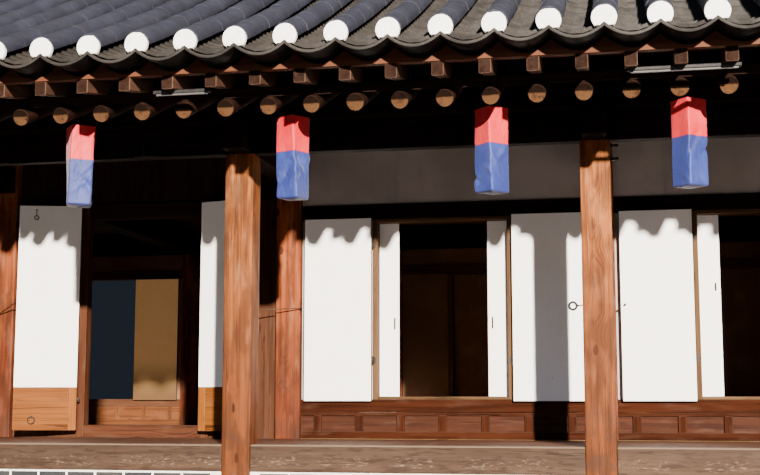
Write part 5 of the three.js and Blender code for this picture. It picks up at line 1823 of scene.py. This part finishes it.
for bay in range(4):
    plaster_parts = [
        rear_timber(bay, -BAY_HALF, -0.66, 0.0595, 0.79, BEAM_Z - 0.001),
        rear_timber(bay, 0.66, BAY_HALF, 0.0595, 0.79, BEAM_Z - 0.001),
        rear_timber(bay, -0.661, 0.661, 0.0590, 2.56, BEAM_Z - 0.001),
    ]
    finish_joined(
        f"rear_plaster_{bay + 1}", plaster_parts, outer_plaster, "plaster", f"rear_wall_{bay + 1}",
    )
    timbers = [
        rear_timber(bay, -BAY_HALF, BAY_HALF, 0.0590, FLOOR, 0.783, honey_panel),
        rear_timber(bay, -BAY_HALF, BAY_HALF, 0.0665, FLOOR + 0.001, FLOOR + 0.070, honey_panel),
        *(
            rear_timber(bay, x - 0.03, x + 0.03, 0.0660, FLOOR + 0.068, 0.783, honey_panel)
            for x in (PANEL_PITCH * i for i in range(-3, 4))
        ),
        rear_timber(bay, -BAY_HALF, BAY_HALF, SILL_HALF, 0.3415, FLOOR - 0.001, rear_wood),
        rear_timber(bay, -BAY_HALF, BAY_HALF, SILL_HALF, 0.781, 0.8725, rear_wood),
        rear_timber(bay, -BAY_HALF, BAY_HALF, SILL_HALF, 2.4405, 2.5625, rear_wood),
        rear_timber(bay, -0.6595, -0.6005, 0.0740, 0.873, 2.440, rear_wood),
        rear_timber(bay, 0.6005, 0.6595, 0.0740, 0.873, 2.440, rear_wood),
    ]
    post_x = [-1.35] if bay < 3 else [-1.35, 1.35]
    for x in post_x:
        timbers.append(
            rear_timber(bay, x - 0.1095, x + 0.1095, 0.1095, 0.2405, BEAM_Z - 0.0005, inner_wood)
        )
    finish_joined(f"rear_timbers_{bay + 1}", timbers, None, "timber")
    middle = BAY_X[bay]
    leaves = []
    papers = []
    if bay == 0:
        for side in (-1, 1):
            near, far = sorted((middle + side * 0.605, middle + side * 1.1990))
            low = (near, REAR_Y - 0.1288, 0.860)
            high = (far, REAR_Y - 0.0955, 2.4365)
            leaves += add_leaf_frame(low, high, 0.034, rear_wood)
            leaves += add_bars(
                (near + 0.03, low[1] + 0.006, 0.89), (far - 0.03, high[1] - 0.003, 2.40), 6, bar_wood,
            )
            papers.append(
                add_timber(
                    "paper", (near + 0.003, REAR_Y - 0.1308, 0.863), (far - 0.003, REAR_Y - 0.1287, 2.4335),
                    0.0009,
                )
            )
            for z in LEAF_HINGES:
                leaves.append(
                    add_timber(
                        "hinge", (middle + side * 0.606, REAR_Y - 0.0960, z - 0.03),
                        (middle + side * 0.638, REAR_Y - 0.0735, z + 0.03), 0.002, black_iron,
                    )
                )
    else:
        for side in (-1, 1):
            near, far = sorted((middle + side * 0.0025, middle + side * 0.5995))
            low = (near, REAR_Y + 0.0225, 0.8740)
            high = (far, REAR_Y + 0.0555, 2.4395)
            leaves += add_leaf_frame(low, high, 0.045, rear_wood)
            leaves += add_bars(
                (near + 0.04, low[1] + 0.004, 0.91), (far - 0.04, high[1] - 0.003, 2.40), 6, bar_wood,
            )
            papers.append(
                add_timber(
                    "paper", (near + 0.003, REAR_Y + 0.0203, 0.877), (far - 0.003, REAR_Y + 0.0226, 2.4365),
                    0.0009,
                )
            )
    finish_joined(f"rear_leaves_{bay + 1}", leaves, None, "timber")
    finish_joined(f"rear_leaf_paper_{bay + 1}", papers, brown_paper if bay else beige_paper, "paper")


# Lanterns: thin silk sewn into a square tube, red over blue, and pulled over two bent wire squares.
# Each hangs from a wire hook in a rafter, a little twisted, and its lower hem is turned in.
LANTERN_LOW = 2.250
LANTERN_HIGH = 2.855
LANTERN_HALF = 0.0860
LANTERN_Y = -4.035
silk, tree, shader, place = new_material("red_and_blue_silk", 0.55, 0.35)
shader.inputs["Sheen Weight"].default_value = 0.15
shader.inputs["Sheen Roughness"].default_value = 0.4
height = split(tree, place)["Z"]
weave_x = add_node(
    tree, "ShaderNodeTexWave", {"Vector": place, "Scale": 260.0}, bands_direction="DIAGONAL",
).outputs["Fac"]
weave_z = add_node(
    tree, "ShaderNodeTexWave", {"Vector": place, "Scale": 300.0}, bands_direction="Z",
).outputs["Fac"]
weave = times(tree, weave_x, weave_z)
faded = fade(tree, noise(tree, place, 5, 5), 0.38, 0.72)
red = mix(tree, faded, (0.50, 0.006, 0.014), (0.58, 0.020, 0.028))
blue = mix(tree, faded, (0.014, 0.025, 0.140), (0.026, 0.044, 0.200))
tone = mix(tree, fade(tree, height, 2.5995, 2.6015), blue, red)
tone = stain(tree, tone, weave, 0.10, (0.03, 0.03, 0.06))
seam = times(tree, fade(tree, height, 2.5955, 2.5975), fade(tree, height, 2.6055, 2.6035))
tone = stain(tree, tone, seam, 0.55, (0.10, 0.02, 0.06))
hem = fade(tree, height, 2.262, 2.266)
tone = mix(tree, hem, mix(tree, 0.35, tone, (0.05, 0.07, 0.20)), tone)
paint(tree, shader, tone)
folds = noise(tree, place, 24, 3, (1, 1, 0.5), 1.2)
add_bump(tree, shader, plus(tree, folds, times(tree, weave, 0.03)), 0.006)
AROUND = 64
ALONG = 48
GIRTH = 0.688
CLOTH_HEIGHT = 0.598
HELD_SHARE = 0.08
WIRE = 0.0020


def make_creases(chance):
    """Slanting folds pressed into the cloth by damp and wind: place, run, width, length and depth."""
    creases = []
    for index in range(26):
        slant = chance.choice((-1, 1)) * chance.uniform(0.45, 1.25)
        deep = index < 7
        creases.append((
            chance.uniform(0, GIRTH),
            chance.uniform(0.03, 0.30 if deep else 0.56),
            math.cos(slant),
            math.sin(slant),
            chance.uniform(0.022, 0.040) if deep else chance.uniform(0.006, 0.012),
            chance.uniform(0.07, 0.15),
            chance.choice((-1, 1)) * chance.uniform(0.007, 0.012) if deep
            else chance.uniform(-0.003, 0.003),
        ))
    return creases


def crease_depth(creases, around, up):
    depth = 0.0
    for start, level, run, climb, width, length, push in creases:
        beside = (around - start + GIRTH / 2) % GIRTH - GIRTH / 2
        above = up - level
        along = (beside * run + above * climb) / length
        across = (beside * climb - above * run) / width
        if abs(along) < 1 and abs(across) < 1:
            depth += push * (1 - abs(across)) * (1 - along * along)
    return depth


hangs = [
    (-2.290, 0.50, 0.1), (-0.990, 0.57, -0.30), (0.618, -0.40, 0.35), (2.023, 0.80, 0.20),
    (3.337, 0.735, 0.05), (4.750, 0.30, 0.1),
]
for number, (lantern_x, turn, twist) in enumerate(hangs, 1):
    cloth = add_primitive(
        bpy.ops.mesh.primitive_grid_add, f"lantern_cloth_{number}", x_subdivisions=AROUND,
        y_subdivisions=ALONG, size=1,
    )
    creases = make_creases(random.Random(number))
    for index, vertex in enumerate(cloth.data.vertices):
        row, column = divmod(index, AROUND + 1)
        share = (column % AROUND) / AROUND
        corner = 4 * share
        along_side = 2 * (corner - int(corner)) - 1
        flat = [(1, along_side), (-along_side, 1), (-1, -along_side), (along_side, -1)][int(corner)]
        reach = (abs(flat[0]) ** 14 + abs(flat[1]) ** 14) ** (-1 / 14)
        up = row / ALONG
        slack = math.sin(math.pi * up)
        held = min(up, 1 - up, HELD_SHARE) / HELD_SHARE
        half = LANTERN_HALF - 0.005 * slack * (1 - abs(along_side))
        half += held * crease_depth(creases, GIRTH * share, CLOTH_HEIGHT * up)
        if row == 0:
            half *= 0.12
        sway = 0.004 * math.sin(2.5 * up + number)
        lift = 0.003 * math.cos(2 * math.pi * share + number) * (1 - up)
        spot = Vector((
            flat[0] * reach * half + sway * slack,
            flat[1] * reach * half,
            LANTERN_LOW + 0.007 + 0.595 * up + lift + (0.006 if row == 0 else 0),
        ))
        spot.rotate(Matrix.Rotation(turn + twist * (0.5 - up), 3, "Z"))
        vertex.co = spot + Vector((lantern_x, LANTERN_Y, 0))
    with edit_mode():
        bpy.ops.mesh.remove_doubles(threshold=0.0002)
        bpy.ops.mesh.normals_make_consistent(inside=False)
    apply_modifier(cloth, "SUBSURF", levels=1, render_levels=1)
    smooth(70)
    finish_piece(cloth, silk, "silk", f"lantern_{number}")
    nearest = min(RAFTER_X, key=lambda x: abs(x - lantern_x))
    hook_x = lantern_x + max(-0.085, min(0.085, nearest - lantern_x))
    frame_half = LANTERN_HALF - 0.011
    wires = []
    for z in (LANTERN_LOW + 0.030, LANTERN_HIGH - 0.010):
        corners = []
        for a, b in ((1, 1), (-1, 1), (-1, -1), (1, -1)):
            corner = Vector((a * frame_half, b * frame_half, z))
            corner.rotate(Matrix.Rotation(turn, 3, "Z"))
            corners.append(corner + Vector((lantern_x, LANTERN_Y, 0)))
        for index in range(4):
            wires.append(add_rod("wire", corners[index], corners[(index + 1) % 4], WIRE, 8))
    wires.append(add_rod("cross", corners[0], corners[2], WIRE, 8))
    wires.append(add_rod("cross", corners[1], corners[3], WIRE, 8))
    top = rafter_bottom(LANTERN_Y) - 0.002
    wires.append(
        add_rod(
            "spreader", (lantern_x, LANTERN_Y, LANTERN_HIGH - 0.010),
            (hook_x, LANTERN_Y, LANTERN_HIGH - 0.006), 0.0022, 8,
        )
    )
    wires.append(
        add_rod("hook", (hook_x, LANTERN_Y, LANTERN_HIGH - 0.012), (hook_x, LANTERN_Y, top), 0.0024, 8)
    )
    wires.append(add_ring("eye", (hook_x, LANTERN_Y, LANTERN_HIGH + 0.012), 0.010, 0.002))
    frame_piece = join_pieces(f"lantern_wire_{number}", wires)
    finish_piece(frame_piece, black_iron, "silk")


# Small fittings: rings and hook rods that hold the open leaves, pegs, a rod on the beam, eave lights.
# The hooks are straight rods with a round nail at one end; the lights are slim tubes in grey tin troughs.
rods = [
    add_knob((-2.4784, -2.0587, 1.739), 0.009),
    add_knob((0.1280, -1.9080, 1.660), 0.010),
    add_knob((2.8860, -1.9080, 1.651), 0.010),
    add_knob((2.5020, -1.9080, 1.650), 0.009),
    add_ring("leaf_ring", (2.4610, -1.9100, 1.648), 0.031, 0.0085),
]
hook_iron = black_iron.copy()
hook_iron.name = "rusty_hook_iron"
for node in hook_iron.node_tree.nodes:
    if node.type == "MIX":
        node.inputs[6].default_value = (0.060, 0.030, 0.016, 1)
        node.inputs[7].default_value = (0.120, 0.068, 0.040, 1)
hooks = [
    add_rod("hook_rod", (-2.7300, -1.8950, 1.640), (-2.4784, -2.0587, 1.739), 0.0055),
    add_rod("hook_rod", (2.8090, -1.8600, 1.598), (2.8860, -1.9080, 1.651), 0.0050),
    add_rod("hook_rod", (2.5900, -1.8900, 1.655), (2.5050, -1.9080, 1.650), 0.0050),
    add_rod("hook_rod", (-0.2170, -2.0560, 1.640), (0.1280, -1.9080, 1.660), 0.0048),
]
finish_joined("hook_rods", hooks, hook_iron, "dark_timber")
for height in (2.621, 2.718):
    rods.append(add_rod("peg", (2.8050, -3.2700, height), (2.8560, -3.2700, height), 0.012))
    rods.append(add_knob((2.8560, -3.2700, height), 0.0145))
rods.append(add_rod("beam_rod", (-1.950, -3.2850, 2.757), (-0.135, -3.2850, 2.764), 0.0050))
rods.append(add_rod("hook_plate", (-0.875, -3.2880, 2.775), (-0.675, -3.2880, 2.768), 0.012))
rods.append(add_rod("hook_shank", (-0.800, -3.2950, 2.880), (-0.798, -3.2950, 2.765), 0.008))
finish_joined("iron_fittings", rods, black_iron, "dark_timber")

tin, tree, shader, place = new_material("grey_tin_trough", 0.6, 0.2)
shader.inputs["Metallic"].default_value = 0.3
paint(
    tree, shader,
    mix(
        tree, fade(tree, noise(tree, place, 20, 4), 0.4, 0.7), (0.026, 0.024, 0.023), (0.014, 0.013, 0.012),
    ),
)
add_bump(tree, shader, noise(tree, place, 90, 3), 0.0008)
white_tube, tree, shader, place = new_material("white_glass_tube", 0.25, 0.5)
paint(tree, shader, mix(tree, noise(tree, place, 12, 3), (0.105, 0.100, 0.095), (0.070, 0.066, 0.062)))
troughs = []
tubes = []
for low_x, high_x in ((-0.193, 0.210), (2.941, 3.636)):
    troughs.append(add_timber("trough", (low_x, -4.655, 2.915), (high_x, -4.615, 2.939), 0.005))
    tubes.append(
        add_rod("tube", (low_x + 0.02, -4.640, 2.9095), (high_x - 0.02, -4.640, 2.9095), 0.0075, 14)
    )
finish_joined("eave_light_troughs", troughs, tin, "dark_timber")
finish_joined("eave_light_tubes", tubes, white_tube, "paper")
